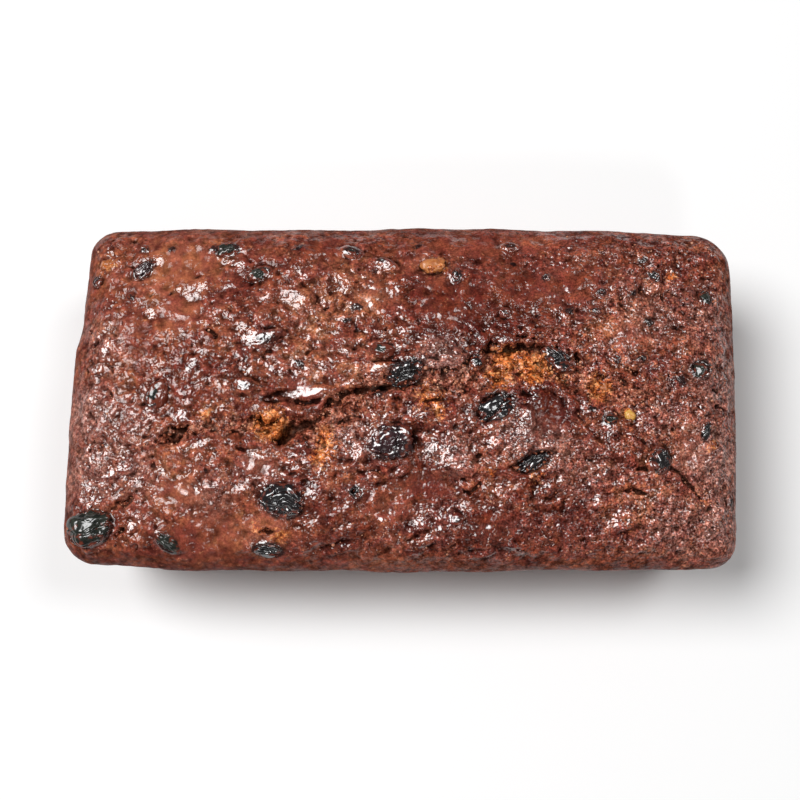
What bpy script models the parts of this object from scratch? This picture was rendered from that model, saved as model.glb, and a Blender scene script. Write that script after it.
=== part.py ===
"""A fruit cake baked in a loaf tin, with the pieces of fruit that show in its crust.

The cake stands on its flat base. X runs along it, Y across it and Z up, and the origin is the
middle of the base. The loaf is one solid with a cracked, domed top. Every raisin and every piece
of peel is a solid of its own, bedded in a pocket of the loaf.
"""

import math

import bmesh
import bpy
from mathutils import Matrix, Vector

MM = 0.001

# The loaf, measured where its wall turns into the top crust.
HALF_LENGTH = 107.2 * MM
HALF_WIDTH = 56.4 * MM
RIM_HEIGHT = 44.0 * MM
CROWN_HEIGHT = 62.0 * MM
SHOULDER_WIDTH = 13.0 * MM
SHOULDER_RISE = 9.0 * MM
BASE_INSET = 8.0 * MM
FOOT_RADIUS = 3.5 * MM
LEAN = 0.028  # how far the plan's ends slant, as a share of Y
END_BOW = 1.5 * MM  # how far the middle of each end stands out
SIDE_BOW = 0.6 * MM  # the same for each long side
CORNER_RADII = {
    (-1, -1): 10.0 * MM,
    (1, -1): 7.0 * MM,
    (1, 1): 11.0 * MM,
    (-1, 1): 8.0 * MM,
}
# How far each corner's long side is drawn in, and over what length.
CORNER_PULLS = {
    (-1, -1): (2.4 * MM, 70.0 * MM),
    (1, -1): (1.2 * MM, 30.0 * MM),
    (1, 1): (4.0 * MM, 50.0 * MM),
    (-1, 1): (1.4 * MM, 20.0 * MM),
}
END_DENT = 1.5 * MM  # the left end is set back by this much behind DENT_START
DENT_START = 14.0 * MM
DENT_RUN = 9.0 * MM
DOME_POWERS = (3.0, 2.2)  # how square the dome is along X and across Y
# Broad waves in the top crust: height in mm, and radians for each mm of X and of Y, and at 0.
SWELLS = [
    (0.35, 0.071, 0.083, 0.5),
    (0.35, 0.071, -0.083, 1.3),
    (0.50, 0.127, -0.055, 2.1),
    (0.40, 0.048, 0.149, 2.1),
]
# Waves in the long sides: the same, along X only.
SIDE_RIPPLES = [
    (0.25, 0.075, 0.6),
    (0.20, 0.190, 2.0),
]

# How finely the loaf's box is divided, and how much closer its rows lie near the edges.
CUTS_ALONG = 29
CUTS_ACROSS = 15
EDGE_CROWDING = 0.5
WALL_LEVELS = [z * MM for z in (0.0, 0.8, 3.5, 17.0, 31.0, 44.0)]

# Touching pieces keep this gap.
CLEARANCE = 0.35 * MM
CAP_WELD = 0.01 * MM  # within which a cutter's caps are welded to it

# The long crack, from the left end: x, y, half its width at the crust, and its depth, in mm.
LONG_CRACK = [
    (-78, -18, 1.6, 1.2),
    (-71, -16, 3.6, 4.0),
    (-62, -13, 3.0, 2.6),
    (-51, -13, 4.6, 3.6),
    (-40, -15, 5.0, 5.0),
    (-28, -14, 6.6, 4.6),
    (-18, -7, 5.0, 4.2),
    (-9, 0, 4.6, 4.0),
    (5, 1, 5.4, 4.6),
    (17, 0, 5.0, 3.6),
    (27, 5, 8.0, 5.0),
    (39, 8, 9.0, 5.6),
    (50, 5, 7.0, 4.6),
    (60, 0, 5.6, 3.6),
    (70, -3, 4.6, 2.6),
    (78, -4, 2.4, 1.2),
]
# A thin crack that runs from the raisin at the right end towards the corner.
SIDE_CRACK = [
    (84.0, -26.0, 1.2, 1.6),
    (88.6, -28.4, 1.3, 2.0),
    (90.7, -31.4, 1.2, 1.6),
    (92.6, -34.0, 0.8, 0.8),
]
# The hollow over the raisin that has sunk in, in front of the long crack.
HOLLOW = [
    (33.0, -27.0, 1.0, 1.0),
    (37.5, -25.6, 3.0, 2.8),
    (42.5, -23.4, 3.2, 3.2),
    (47.0, -21.6, 1.6, 1.4),
]

# Raisins in the top crust: x, y, length, width, height, turn in degrees and how far the middle
# lies under the crust, in mm.
TOP_RAISINS = [
    (-84.8, 39.7, 10.5, 6.2, 5.6, 38, 1.2),
    (-57.4, 46.6, 10.6, 6.8, 6.0, 4, 1.5),
    (-46.7, 37.7, 10.4, 6.0, 5.4, 18, 1.5),
    (-100.6, 36.8, 4.6, 3.8, 3.8, 70, 1.0),
    (-98.6, -44.1, 14.8, 12.2, 8.4, 14, 0.8),
    (-74.1, -49.0, 10.6, 6.2, 5.8, -42, 1.4),
    (-38.0, -36.1, 14.2, 11.8, 8.4, -20, 1.0),
    (-42.2, -50.7, 13.8, 8.4, 7.0, -4, 2.4),
    (-78.4, -2.4, 11.2, 8.4, 6.6, 62, 1.7),
    (0.8, 4.6, 13.0, 9.4, 8.4, 22, 2.4),
    (-6.8, 11.2, 8.2, 5.4, 5.0, -8, 1.2),
    (-4.0, -17.8, 15.2, 12.8, 8.8, 20, 1.0),
    (28.6, -6.8, 15.0, 10.4, 8.4, 32, 2.2),
    (49.2, 8.6, 13.0, 8.6, 7.2, -38, 2.4),
    (40.6, -24.2, 12.6, 6.6, 6.8, 26, 3.2),
    (79.8, -23.6, 10.2, 8.6, 7.0, 66, 1.1),
    (98.2, 30.1, 7.6, 4.6, 4.8, 100, 1.1),
    (95.2, 6.2, 7.8, 5.2, 5.2, 88, 1.2),
    (95.6, -13.6, 8.0, 3.8, 4.4, 74, 1.3),
    (103.6, -35.4, 6.4, 3.8, 4.0, 88, 1.2),
    (-17.1, 45.5, 9.0, 5.8, 5.4, -18, 1.5),
    (-7.0, 41.6, 7.4, 4.2, 4.4, -10, 1.2),
    (65.0, -10.5, 7.2, 6.0, 5.6, 14, 1.7),
    (46.5, 36.0, 4.8, 4.0, 4.0, 70, 1.4),
    (17.1, 36.7, 7.4, 4.8, 4.6, 78, 1.4),
    (63.8, 30.4, 6.6, 4.4, 4.4, -10, 1.3),
    (82.2, 37.8, 6.8, 4.4, 4.4, -44, 1.4),
    (75.6, 9.2, 6.0, 4.4, 4.6, 20, 1.5),
    (67.2, 9.1, 4.8, 4.0, 4.0, 80, 1.4),
    (34.8, 47.8, 8.6, 4.4, 4.6, -6, 1.6),
    (-43.6, 15.2, 13.0, 8.2, 7.0, 8, 2.2),
    (-49.9, -0.2, 7.4, 6.4, 5.6, -20, 1.4),
    (-33.2, 7.0, 6.4, 5.2, 5.0, -35, 1.5),
    (23.4, 8.0, 7.0, 4.8, 5.0, 62, 2.0),
    (-13.8, -33.8, 5.4, 4.4, 4.4, 60, 1.3),
    (32.6, 24.1, 5.0, 4.0, 4.2, -10, 1.3),
    (61.3, 24.7, 7.2, 4.0, 4.4, -4, 1.4),
    (-84.8, 47.3, 5.6, 4.0, 4.0, 20, 1.2),
    (16.4, -41.7, 5.0, 3.8, 4.0, 10, 1.3),
]

# Candied peel in the top crust, in the same order.
TOP_PEEL = [
    (9.6, 40.7, 8.2, 5.4, 4.6, 12, 0.9),
    (71.4, -9.0, 4.0, 3.6, 3.6, 20, 1.2),
    (-97.2, 42.0, 6.0, 3.6, 3.6, -8, 1.0),
    (64.1, 0.3, 4.4, 3.6, 3.6, -15, 2.4),
]

# Raisins pressed against the tin: which wall they are in, place along it, height over the base,
# length, width, depth into the loaf and turn in degrees.
WALL_RAISINS = [
    ("front", -68.0, 21.0, 11.4, 7.6, 6.2, 24),
    ("front", -13.0, 30.0, 12.4, 8.4, 6.4, -12),
    ("front", 37.0, 15.0, 10.6, 7.2, 6.0, 66),
    ("front", 80.0, 29.0, 9.8, 6.4, 6.0, 8),
    ("back", -78.0, 27.0, 10.8, 7.4, 6.0, -30),
    ("back", -20.0, 16.0, 12.0, 8.0, 6.4, 14),
    ("back", 52.0, 26.0, 11.2, 7.0, 6.0, 48),
    ("left", 18.0, 19.0, 11.0, 7.8, 6.2, -18),
    ("right", -17.0, 24.0, 11.6, 7.2, 6.2, 32),
]
WALL_SINK = 2.4 * MM  # how far the middle of such a raisin lies inside the wall
# Each wall's outward direction in plan.
WALL_FACES = {
    "front": Vector((0, -1, 0)),
    "back": Vector((0, 1, 0)),
    "left": Vector((-1, 0, 0)),
    "right": Vector((1, 0, 0)),
}

# A raisin at least this long is rounder: its sphere's segments and rings, then a small one's.
LARGE_RAISIN = 9.5
LARGE_FACETS = (10, 5)
SMALL_FACETS = (8, 4)
WRINKLE_FOLDS = 3  # ridges that run along a raisin
WRINKLE_DEPTH = 0.07
PEEL_CHAMFER = 0.45  # of half a dice's side
PEEL_BOW = 0.18  # of half a dice's width
WALL_NORMAL_Z = 0.5  # a surface whose normal's Z is smaller counts as a wall
SLOPE_STEP = 1.5 * MM  # half the length over which the crust's slope is taken
GOLDEN_ANGLE = 2.4  # radians, so that no two raisins share their ridges


# ---------------------------------------------------------------- the loaf's form


def smooth_step(t):
    t = min(max(t, 0.0), 1.0)
    return t * t * (3 - 2 * t)


def corner_of(x, y):
    return (1 if x >= 0 else -1, 1 if y >= 0 else -1)


def plan_point(u, v):
    """A point of the square from -1 to 1 as a point of the loaf's rounded plan at the rim."""
    ring = max(abs(u), abs(v))
    if ring == 0:
        return 0.0, 0.0
    x, y = u / ring * HALF_LENGTH, v / ring * HALF_WIDTH
    radius = CORNER_RADII[corner_of(x, y)]
    centre_x = math.copysign(HALF_LENGTH - radius, x)
    centre_y = math.copysign(HALF_WIDTH - radius, y)
    out_x, out_y = (x - centre_x) * math.copysign(1, x), (y - centre_y) * math.copysign(1, y)
    if out_x > 0 and out_y > 0:
        reach = radius / math.hypot(out_x, out_y)
        x = centre_x + (x - centre_x) * reach
        y = centre_y + (y - centre_y) * reach
    return x * ring, y * ring


def distance_inside(x, y):
    """How far a point lies inside the rounded plan."""
    radius = CORNER_RADII[corner_of(x, y)]
    past_x = abs(x) - (HALF_LENGTH - radius)
    past_y = abs(y) - (HALF_WIDTH - radius)
    outside = math.hypot(max(past_x, 0), max(past_y, 0)) + min(max(past_x, past_y), 0)
    return radius - outside


def swell(x, y):
    """Broad unevenness of the risen top, in metres."""
    a, b = x / MM, y / MM
    return MM * sum(h * math.sin(along * a + across * b + phase) for h, along, across, phase in SWELLS)


def top_height(x, y):
    """Height of the top crust, without its cracks."""
    depth = max(distance_inside(x, y), 0.0)
    rounding = 1 - min(depth / SHOULDER_WIDTH, 1.0)
    shoulder = SHOULDER_RISE * math.sqrt(1 - rounding * rounding)
    along = 1 - min(abs(x) / HALF_LENGTH, 1.0) ** DOME_POWERS[0]
    across = 1 - min(abs(y) / HALF_WIDTH, 1.0) ** DOME_POWERS[1]
    dome = (CROWN_HEIGHT - RIM_HEIGHT - SHOULDER_RISE) * along * across
    settled = smooth_step(depth / SHOULDER_WIDTH)
    return RIM_HEIGHT + shoulder + dome + swell(x, y) * settled


def wall_inset(z):
    """How far the wall at height z lies inside the rim's outline."""
    inset = BASE_INSET * (1 - z / RIM_HEIGHT)
    if z < FOOT_RADIUS:
        below = 1 - z / FOOT_RADIUS
        inset += FOOT_RADIUS * (1 - math.sqrt(1 - below * below))
    return inset


def uneven(x, y):
    """Moves a point of the true plan to where the slightly crooked loaf has it."""
    end, side = x / HALF_LENGTH, y / HALF_WIDTH
    set_back = END_DENT * smooth_step((y - DENT_START) / DENT_RUN) * max(-end, 0) ** 3
    bow_x = END_BOW * end * (1 - side * side)
    bow_y = SIDE_BOW * side * (1 - end * end)
    ripple = MM * side * sum(h * math.sin(along * x / MM + phase) for h, along, phase in SIDE_RIPPLES)
    pull, run = CORNER_PULLS[corner_of(x, y)]
    nearness = max(1 - (HALF_LENGTH - abs(x)) / run, 0.0)
    drawn_in = pull * nearness**2 * side * abs(side)
    return x + LEAN * y + set_back + bow_x, y + bow_y + ripple - drawn_in


def straightened(x, y):
    """The opposite of uneven, near enough to place a piece."""
    there_x, there_y = uneven(x, y)
    return 2 * x - there_x, 2 * y - there_y


def crowded(t):
    """Moves evenly spaced places from -1 to 1 towards both ends."""
    return (1 - EDGE_CROWDING) * t + EDGE_CROWDING * math.sin(math.pi / 2 * t)


# ---------------------------------------------------------------- building blocks


def clear_scene():
    for obj in list(bpy.data.objects):
        bpy.data.objects.remove(obj, do_unlink=True)


def collection_named(name):
    found = bpy.data.collections.new(name)
    bpy.context.scene.collection.children.link(found)
    return found


def material_named(name, colour, roughness):
    material = bpy.data.materials.new(name)
    material.use_nodes = True
    shader = material.node_tree.nodes["Principled BSDF"]
    shader.inputs["Base Color"].default_value = (*colour, 1.0)
    shader.inputs["Roughness"].default_value = roughness
    shader.inputs["Metallic"].default_value = 0.0
    return material


def object_from(bm, name, collection, material=None):
    mesh = bpy.data.meshes.new(name)
    bm.to_mesh(mesh)
    bm.free()
    obj = bpy.data.objects.new(name, mesh)
    collection.objects.link(obj)
    if material:
        mesh.materials.append(material)
        mesh.shade_smooth()
        mesh.set_sharp_from_angle(angle=math.radians(50))
    return obj


def as_cutter(obj):
    obj.hide_render = True
    obj.display_type = "WIRE"
    return obj


def edges_along(bm, axis):
    """The edges that run along one axis of an upright box."""
    found = []
    for edge in bm.edges:
        run = edge.verts[1].co - edge.verts[0].co
        if abs(run[axis]) > 0.5 * run.length:
            found.append(edge)
    return found


# ---------------------------------------------------------------- the loaf


def loaf_vertex(co):
    """Where a point of the divided cube, from -1 to 1 each way, lies on the loaf."""
    level = round((co.z + 1) / 2 * (len(WALL_LEVELS) - 1))
    u, v = crowded(co.x), crowded(co.y)
    x, y = plan_point(u, v)
    if level == len(WALL_LEVELS) - 1:
        z = top_height(x, y)
    else:
        z = WALL_LEVELS[level]
        x *= 1 - wall_inset(z) / HALF_LENGTH
        y *= 1 - wall_inset(z) / HALF_WIDTH
    x, y = uneven(x, y)
    return Vector((x, y, z))


def make_loaf(collection, material):
    bm = bmesh.new()
    bmesh.ops.create_cube(bm, size=2.0)
    cuts = (CUTS_ALONG, CUTS_ACROSS, len(WALL_LEVELS) - 2)
    for axis, number in enumerate(cuts):
        edges = edges_along(bm, axis)
        bmesh.ops.subdivide_edges(bm, edges=edges, cuts=number, use_grid_fill=True)
    for vertex in bm.verts:
        vertex.co = loaf_vertex(vertex.co)
    base = [face for face in bm.faces if all(v.co.z == 0 for v in face.verts)]
    bmesh.ops.dissolve_faces(bm, faces=base, use_verts=True)
    bmesh.ops.recalc_face_normals(bm, faces=bm.faces)
    return object_from(bm, "loaf", collection, material)


def crack_cutter(name, stations, collection):
    """A tube of changing thickness that lies along a crack and cuts it to its width and depth."""
    curve = bpy.data.curves.new(name, "CURVE")
    curve.dimensions = "3D"
    curve.bevel_depth = MM
    curve.bevel_resolution = 2
    curve.use_fill_caps = True
    spline = curve.splines.new("POLY")
    spline.points.add(len(stations) - 1)
    for point, (x, y, half_width, depth) in zip(spline.points, stations):
        radius = (half_width**2 + depth**2) / (2 * depth)
        surface = top_height(*straightened(x * MM, y * MM))
        point.co = (x * MM, y * MM, surface + (radius - depth) * MM, 1.0)
        point.radius = radius
    guide = bpy.data.objects.new(name + "_guide", curve)
    collection.objects.link(guide)
    bpy.context.view_layer.update()
    graph = bpy.context.evaluated_depsgraph_get()
    bm = bmesh.new()
    bm.from_mesh(bpy.data.meshes.new_from_object(guide.evaluated_get(graph)))
    bmesh.ops.remove_doubles(bm, verts=bm.verts, dist=CAP_WELD)
    bmesh.ops.recalc_face_normals(bm, faces=bm.faces)
    bpy.data.objects.remove(guide, do_unlink=True)
    return as_cutter(object_from(bm, name, collection))


# ---------------------------------------------------------------- the fruit


def standing_on(point, normal, turn):
    """A matrix with its Z along the normal. Its X is turned from X, or in a wall from level."""
    level, second = Vector((1, 0, 0)), Vector((0, 1, 0))
    if abs(normal.z) < WALL_NORMAL_Z:
        level, second = Vector((0, 0, 1)).cross(normal).normalized(), Vector((0, 0, 1))
    side = level * math.cos(turn) + second * math.sin(turn)
    z_axis = normal.normalized()
    x_axis = (side - z_axis * side.dot(z_axis)).normalized()
    y_axis = z_axis.cross(x_axis)
    turned = Matrix((x_axis, y_axis, z_axis)).transposed().to_4x4()
    turned.translation = point
    return turned


def bed_in_top(x, y, turn, sink):
    """Where a piece lies in the top crust, given its place in mm and its turn in degrees."""
    middle_x, middle_y = straightened(x * MM, y * MM)
    height = top_height(middle_x, middle_y)
    rise_x = top_height(middle_x + SLOPE_STEP, middle_y) - top_height(middle_x - SLOPE_STEP, middle_y)
    rise_y = top_height(middle_x, middle_y + SLOPE_STEP) - top_height(middle_x, middle_y - SLOPE_STEP)
    normal = Vector((-rise_x, -rise_y, 2 * SLOPE_STEP)).normalized()
    place = Vector((x * MM, y * MM, height)) - normal * sink * MM
    return standing_on(place, normal, math.radians(turn))


def bed_in_wall(wall, along, height, turn):
    """Where a raisin lies in a side or an end of the loaf."""
    facing = WALL_FACES[wall]
    inset = wall_inset(height * MM)
    if facing.y:
        place = Vector((along * MM, facing.y * (HALF_WIDTH - inset), height * MM))
    else:
        place = Vector((facing.x * (HALF_LENGTH - inset), along * MM, height * MM))
    place.x, place.y = uneven(place.x, place.y)
    normal = (facing - Vector((0, 0, BASE_INSET / RIM_HEIGHT))).normalized()
    return standing_on(place - normal * WALL_SINK, normal, math.radians(turn))


def raisin_mesh(length, width, height, number, grow):
    """A wrinkled ellipsoid whose ridges run along it, with its length along X."""
    segments, rings = LARGE_FACETS if length >= LARGE_RAISIN else SMALL_FACETS
    bm = bmesh.new()
    bmesh.ops.create_uvsphere(bm, u_segments=segments, v_segments=rings, radius=1.0)
    half = Vector((length, width, height)) * (MM / 2) + Vector((grow, grow, grow))
    for vertex in bm.verts:
        # The sphere's pole lies along X, so the ridges meet at the raisin's ends.
        across, up, along = vertex.co
        around = math.atan2(up, across)
        away = math.hypot(across, up)
        ridge = math.cos(WRINKLE_FOLDS * around + GOLDEN_ANGLE * number)
        fold = 1 + WRINKLE_DEPTH * ridge * away
        vertex.co = (along * half.x, across * half.y * fold, up * half.z * fold)
    return bm


def peel_mesh(length, width, height, number, grow):
    """A dice of candied peel: a small block with rounded edges and one bowed side."""
    bm = bmesh.new()
    bmesh.ops.create_cube(bm, size=2.0)
    bmesh.ops.bevel(bm, geom=bm.edges, offset=PEEL_CHAMFER, segments=1, affect="EDGES")
    half = Vector((length, width, height)) * (MM / 2) + Vector((grow, grow, grow))
    bow = PEEL_BOW * math.cos(GOLDEN_ANGLE * number)
    for vertex in bm.verts:
        x, y, z = vertex.co
        vertex.co = (x * half.x, (y + bow * x * x) * half.y, z * half.z)
    return bm


def bed_piece(name, mesh_of, size, place, number, parts, cutters, material):
    """Makes one piece of fruit and the slightly larger cutter for its pocket."""
    piece = object_from(mesh_of(*size, number, 0.0), name, parts, material)
    piece.matrix_world = place
    pocket = as_cutter(object_from(mesh_of(*size, number, CLEARANCE), name + "_pocket", cutters))
    pocket.matrix_world = place


# ---------------------------------------------------------------- the whole cake


def main():
    clear_scene()
    parts = collection_named("fruit_cake")
    cutters = collection_named("cutters")
    crust = material_named("crust", (0.20, 0.055, 0.03), 0.42)
    raisin_skin = material_named("raisin_skin", (0.014, 0.009, 0.010), 0.3)
    candied_peel = material_named("candied_peel", (0.62, 0.22, 0.04), 0.35)

    loaf = make_loaf(parts, crust)
    crack_cutter("long_crack", LONG_CRACK, cutters)
    crack_cutter("side_crack", SIDE_CRACK, cutters)
    crack_cutter("hollow", HOLLOW, cutters)

    number = 0
    for x, y, length, width, height, turn, sink in TOP_RAISINS:
        number += 1
        place = bed_in_top(x, y, turn, sink)
        size = (length, width, height)
        bed_piece(f"raisin_{number:02d}", raisin_mesh, size, place, number, parts, cutters, raisin_skin)
    for wall, along, up, length, width, depth, turn in WALL_RAISINS:
        number += 1
        place = bed_in_wall(wall, along, up, turn)
        size = (length, width, depth)
        bed_piece(f"raisin_{number:02d}", raisin_mesh, size, place, number, parts, cutters, raisin_skin)
    for index, (x, y, length, width, height, turn, sink) in enumerate(TOP_PEEL, 1):
        place = bed_in_top(x, y, turn, sink)
        size = (length, width, height)
        bed_piece(f"peel_{index}", peel_mesh, size, place, index, parts, cutters, candied_peel)

    cut = loaf.modifiers.new("cracks_and_pockets", "BOOLEAN")
    cut.operation = "DIFFERENCE"
    cut.operand_type = "COLLECTION"
    cut.collection = cutters
    cut.solver = "EXACT"
    cut.use_self = True


main()
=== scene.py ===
"""The looks of a fruit cake: its crust, the torn crumb in its crack, and its fruit.

The loaf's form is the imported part's, worked out again here from the same sizes, and then given the
relief that the part leaves out. Work on the relief is in millimetres, in the part's own frame: X
along the cake, Y across it towards the back, Z up from the base.
"""

import math

import bmesh
import bpy
import numpy as np
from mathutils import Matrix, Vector


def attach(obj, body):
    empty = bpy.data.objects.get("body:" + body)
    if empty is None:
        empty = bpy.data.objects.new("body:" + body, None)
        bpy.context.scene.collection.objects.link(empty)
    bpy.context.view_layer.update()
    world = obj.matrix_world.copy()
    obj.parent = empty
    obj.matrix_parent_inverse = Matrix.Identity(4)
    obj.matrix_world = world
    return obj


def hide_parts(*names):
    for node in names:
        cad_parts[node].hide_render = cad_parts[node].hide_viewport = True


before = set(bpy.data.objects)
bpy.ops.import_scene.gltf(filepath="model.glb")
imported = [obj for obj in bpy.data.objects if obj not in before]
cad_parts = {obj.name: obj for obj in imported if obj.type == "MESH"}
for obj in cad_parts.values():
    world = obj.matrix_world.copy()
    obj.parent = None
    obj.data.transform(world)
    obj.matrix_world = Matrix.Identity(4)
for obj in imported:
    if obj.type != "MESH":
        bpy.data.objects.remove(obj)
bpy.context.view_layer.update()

MM = 0.001
TINY = 1e-9

# ---- the loaf's sizes, in mm

HALF_LENGTH = 107.2
HALF_WIDTH = 56.4
RIM_HEIGHT = 44.0
CROWN_HEIGHT = 62.0
SHOULDER_WIDTH = 13.0
SHOULDER_RISE = 9.0
BASE_INSET = 8.0
FOOT_RADIUS = 3.5
LEAN = 0.028
END_BOW = 1.5
SIDE_BOW = 0.6
CORNER_RADII = {(-1, -1): 10.0, (1, -1): 7.0, (1, 1): 11.0, (-1, 1): 8.0}
CORNER_PULLS = {(-1, -1): 2.4, (1, -1): 1.2, (1, 1): 4.0, (-1, 1): 1.4}
CORNER_PULL_RUNS = {(-1, -1): 70.0, (1, -1): 30.0, (1, 1): 50.0, (-1, 1): 20.0}
END_DENT = 1.5
DENT_START = 14.0
DENT_RUN = 9.0
DOME_POWERS = (3.0, 2.2)
SWELLS = [
    (0.35, 0.071, 0.083, 0.5), (0.35, 0.071, -0.083, 1.3), (0.5, 0.127, -0.055, 2.1),
    (0.4, 0.048, 0.149, 2.1),
]
SIDE_RIPPLES = [(0.25, 0.075, 0.6), (0.20, 0.190, 2.0)]

# How finely the loaf's box is divided before it is thinned out.
CUTS_ALONG = 460
CUTS_ACROSS = 250
CUTS_DOWN = 60
EDGE_CROWDING = 0.35
MOST_TRIANGLES = 196_000

# ---- the crust's features, in mm

# The long crack, from the left end: x, y, half its width and its depth.
LONG_CRACK = [
    (-78, -18, 1.6, 1.2), (-71, -16, 3.6, 2.6), (-62, -13, 3, 1.4), (-51, -13, 4.6, 1.8),
    (-40, -15, 5, 2.8), (-28, -14, 6.6, 2.6), (-18, -7, 5, 2.2), (-9, 0, 5, 2.2), (5, 1, 6, 2.2),
    (17, 0, 5.6, 2.2), (27, 5, 7.6, 2.8), (39, 7, 8.6, 3.2), (50, 5, 7, 2.8), (60, 0, 6, 2),
    (70, -3, 4.6, 1.4), (78, -4, 2.4, 0.8),
]

# Torn places where orange crumb and peel show: x, y, reach and strength.
ORANGE = [
    (-42, -12, 6.5, 1.1), (-24.5, -17, 5, 0.7), (-25, -22, 5, 0.8), (8, -4, 6.5, 0.55),
    (11, -8.5, 2.6, 1), (30, 3, 5.5, 0.8), (33, 9, 6, 1), (41, 6, 6.5, 1.1), (62, 0, 6, 0.65),
    (50, 3, 4, 0.5), (-63, -8.5, 2.4, 0.8), (-39, -46.5, 3.6, 0.55), (-46, -44.5, 3.6, 0.4),
    (41, -28, 4.5, 0.5), (26, -28, 1.7, 0.8), (86.5, 37.8, 2.4, 0.8), (97.5, -18, 3, 0.6),
    (94, -35, 4, 0.35), (66.5, 11, 2.6, 0.45),
]

# Where a paler, pinker colour is painted on the crust as a sheen of glaze: x, y, reach and strength.
PAINTED_SHEEN = [
    (101, -42, 13, 0.9), (101, -22, 15, 1), (101, 2, 13, 0.7), (99, 22, 12, 0.5),
    (80, 26, 12, 0.35), (86, -44, 12, 0.5), (12, 8, 8, 1), (-17, -16, 8, 0.5), (36, -16, 9, 0.6),
    (46, -20, 8, 0.6), (16, -22, 8, 0.5), (-101, -8, 12, 0.9), (-99, -26, 12, 0.8),
    (-88, -14, 12, 0.5), (-84, -28, 9, 0.6), (-96, 16, 9, 0.4), (-60, -34, 9, 0.4),
    (-45, -28, 8, 0.3), (82, -8, 10, 0.3), (56, -26, 9, 0.3),
]

# Where the crust is drier and calmer: x, y, reach and strength.
DRY = [
    (-74, 40, 22, 1), (-84, 20, 16, 0.8), (-95, 36, 14, 0.7), (-44, 28, 14, 0.5),
    (-66, 28, 10, 0.6), (-50, 42, 18, 0.7), (-62, 20, 12, 0.4), (-25, 44, 16, 0.5),
    (5, 44, 18, 0.8), (12, 28, 16, 0.7), (34, 32, 20, 0.9), (30, 48, 18, 0.8), (58, 40, 18, 0.6),
    (78, 20, 14, 0.3), (92, 34, 14, 0.2), (-80, -44, 16, 0.6), (-58, -46, 16, 0.8),
    (-40, -44, 12, 0.5), (-72, -32, 12, 0.6), (6, -31, 10, 0.6), (45, -9, 9, 0.8),
    (50, -44, 14, 0.3), (30, -44, 10, 0.3), (92, -20, 10, 0.3), (-30, 20, 10, 0.3),
    (-88, -4, 22, 0.5), (-72, 4, 16, 0.5), (-50, -16, 14, 0.3), (-30, 10, 14, 0.3),
    (-20, -42, 20, 0.4), (26, -36, 16, 0.3),
]

# Small dark bits of fruit just under the crust: x, y and reach.
DARK_BITS = [
    (-75.7, 46.1, 2.2), (77, 43, 1.9), (-14.5, 26.5, 2.8), (-18, 22, 1.8), (79, 22, 2.2),
    (53, 24, 2.4), (-8, -2, 3), (47, 8, 3.4), (88, 2, 2), (-62, 47, 1.8), (4, 47, 2), (74, 31, 1.6),
    (-34, 46, 2.2), (60, -8, 2), (-88, 30, 1.7), (36, 41, 1.5),
]

# Narrow, deep places: each a path of x, y, half width and depth.
CREVICES = [
    [(-76, -18.5, 1.2, 1.2), (-73.5, -16.5, 2.2, 4.2), (-70.5, -13.5, 1.4, 3), (-67.5, -12, 0.8, 1.4)],
    [
        (-25, -2.6, 0.8, 1.4), (-16, -1.4, 1.3, 3), (-8, -0.8, 1.5, 3.6), (0, -0.4, 1.2, 3),
        (5, 0.6, 0.7, 1.4),
    ],
    [(-26, -10.4, 1.2, 1.2), (-30.5, -12.2, 2.3, 3.4), (-34.5, -13.8, 2.5, 4.2), (-39, -17.5, 2.1, 3.8)],
    [(6.4, -4.9, 0.8, 1.2), (9.8, -4.4, 1.3, 3.2), (13.4, -4.8, 0.8, 1.4)],
    [(-61.6, 18.4, 0.9, 1.4), (-59.9, 17, 1.5, 3.2), (-59.2, 15.4, 0.9, 1.4)],
    [(-90.2, -36.4, 0.8, 1), (-88, -36.4, 2, 2.8), (-86, -34.6, 1, 1.8)],
    [(-90.4, -45.8, 0.8, 1.2), (-88.4, -44, 1.5, 2.6)],
    [(-45.6, -45.8, 0.5, 0.8), (-42.8, -45.2, 1.1, 2.4), (-40.6, -45.3, 0.6, 0.9)],
    [(18.2, -33, 0.6, 0.8), (20.6, -33.7, 1, 2.2), (23.6, -31, 0.8, 1.2)],
    [(33, -27, 1, 1), (37.5, -25.6, 2.6, 3.4), (42.5, -22.6, 2.6, 4.4), (47, -21.2, 1.2, 1.6)],
    [(83, -25.4, 0.9, 1.8), (86.6, -27, 0.9, 2), (89, -29.4, 1, 2.4), (92.8, -34.2, 0.6, 1)],
    [(73.4, -26.2, 0.5, 0.8), (76.4, -26, 0.8, 1.6)],
    [(71, 5.6, 0.9, 1.4), (73.6, 4.6, 1.3, 2.2)],
    [(67.6, -33.4, 0.7, 0.8), (71.6, -32.4, 1.1, 1.4), (76, -33.4, 0.7, 0.8)],
    [(27, 11.6, 0.8, 0.8), (34, 12.6, 1.2, 1.4), (41, 12.8, 1.4, 2.4), (47, 11, 1.4, 2.6)],
    [(-9, 7.4, 0.7, 1), (-2, 7.8, 0.9, 1.4), (6, 6.6, 1, 1.6)],
    [(-47, -5, 0.6, 0.5), (-40, -4.8, 1, 0.9), (-31, -5.2, 1.2, 1.2), (-24, -3.8, 0.8, 0.8)],
    [(-13.5, -10, 0.8, 1), (-17.5, -9.6, 1.2, 2), (-20.5, -11.5, 0.9, 1.4)],
]

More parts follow.
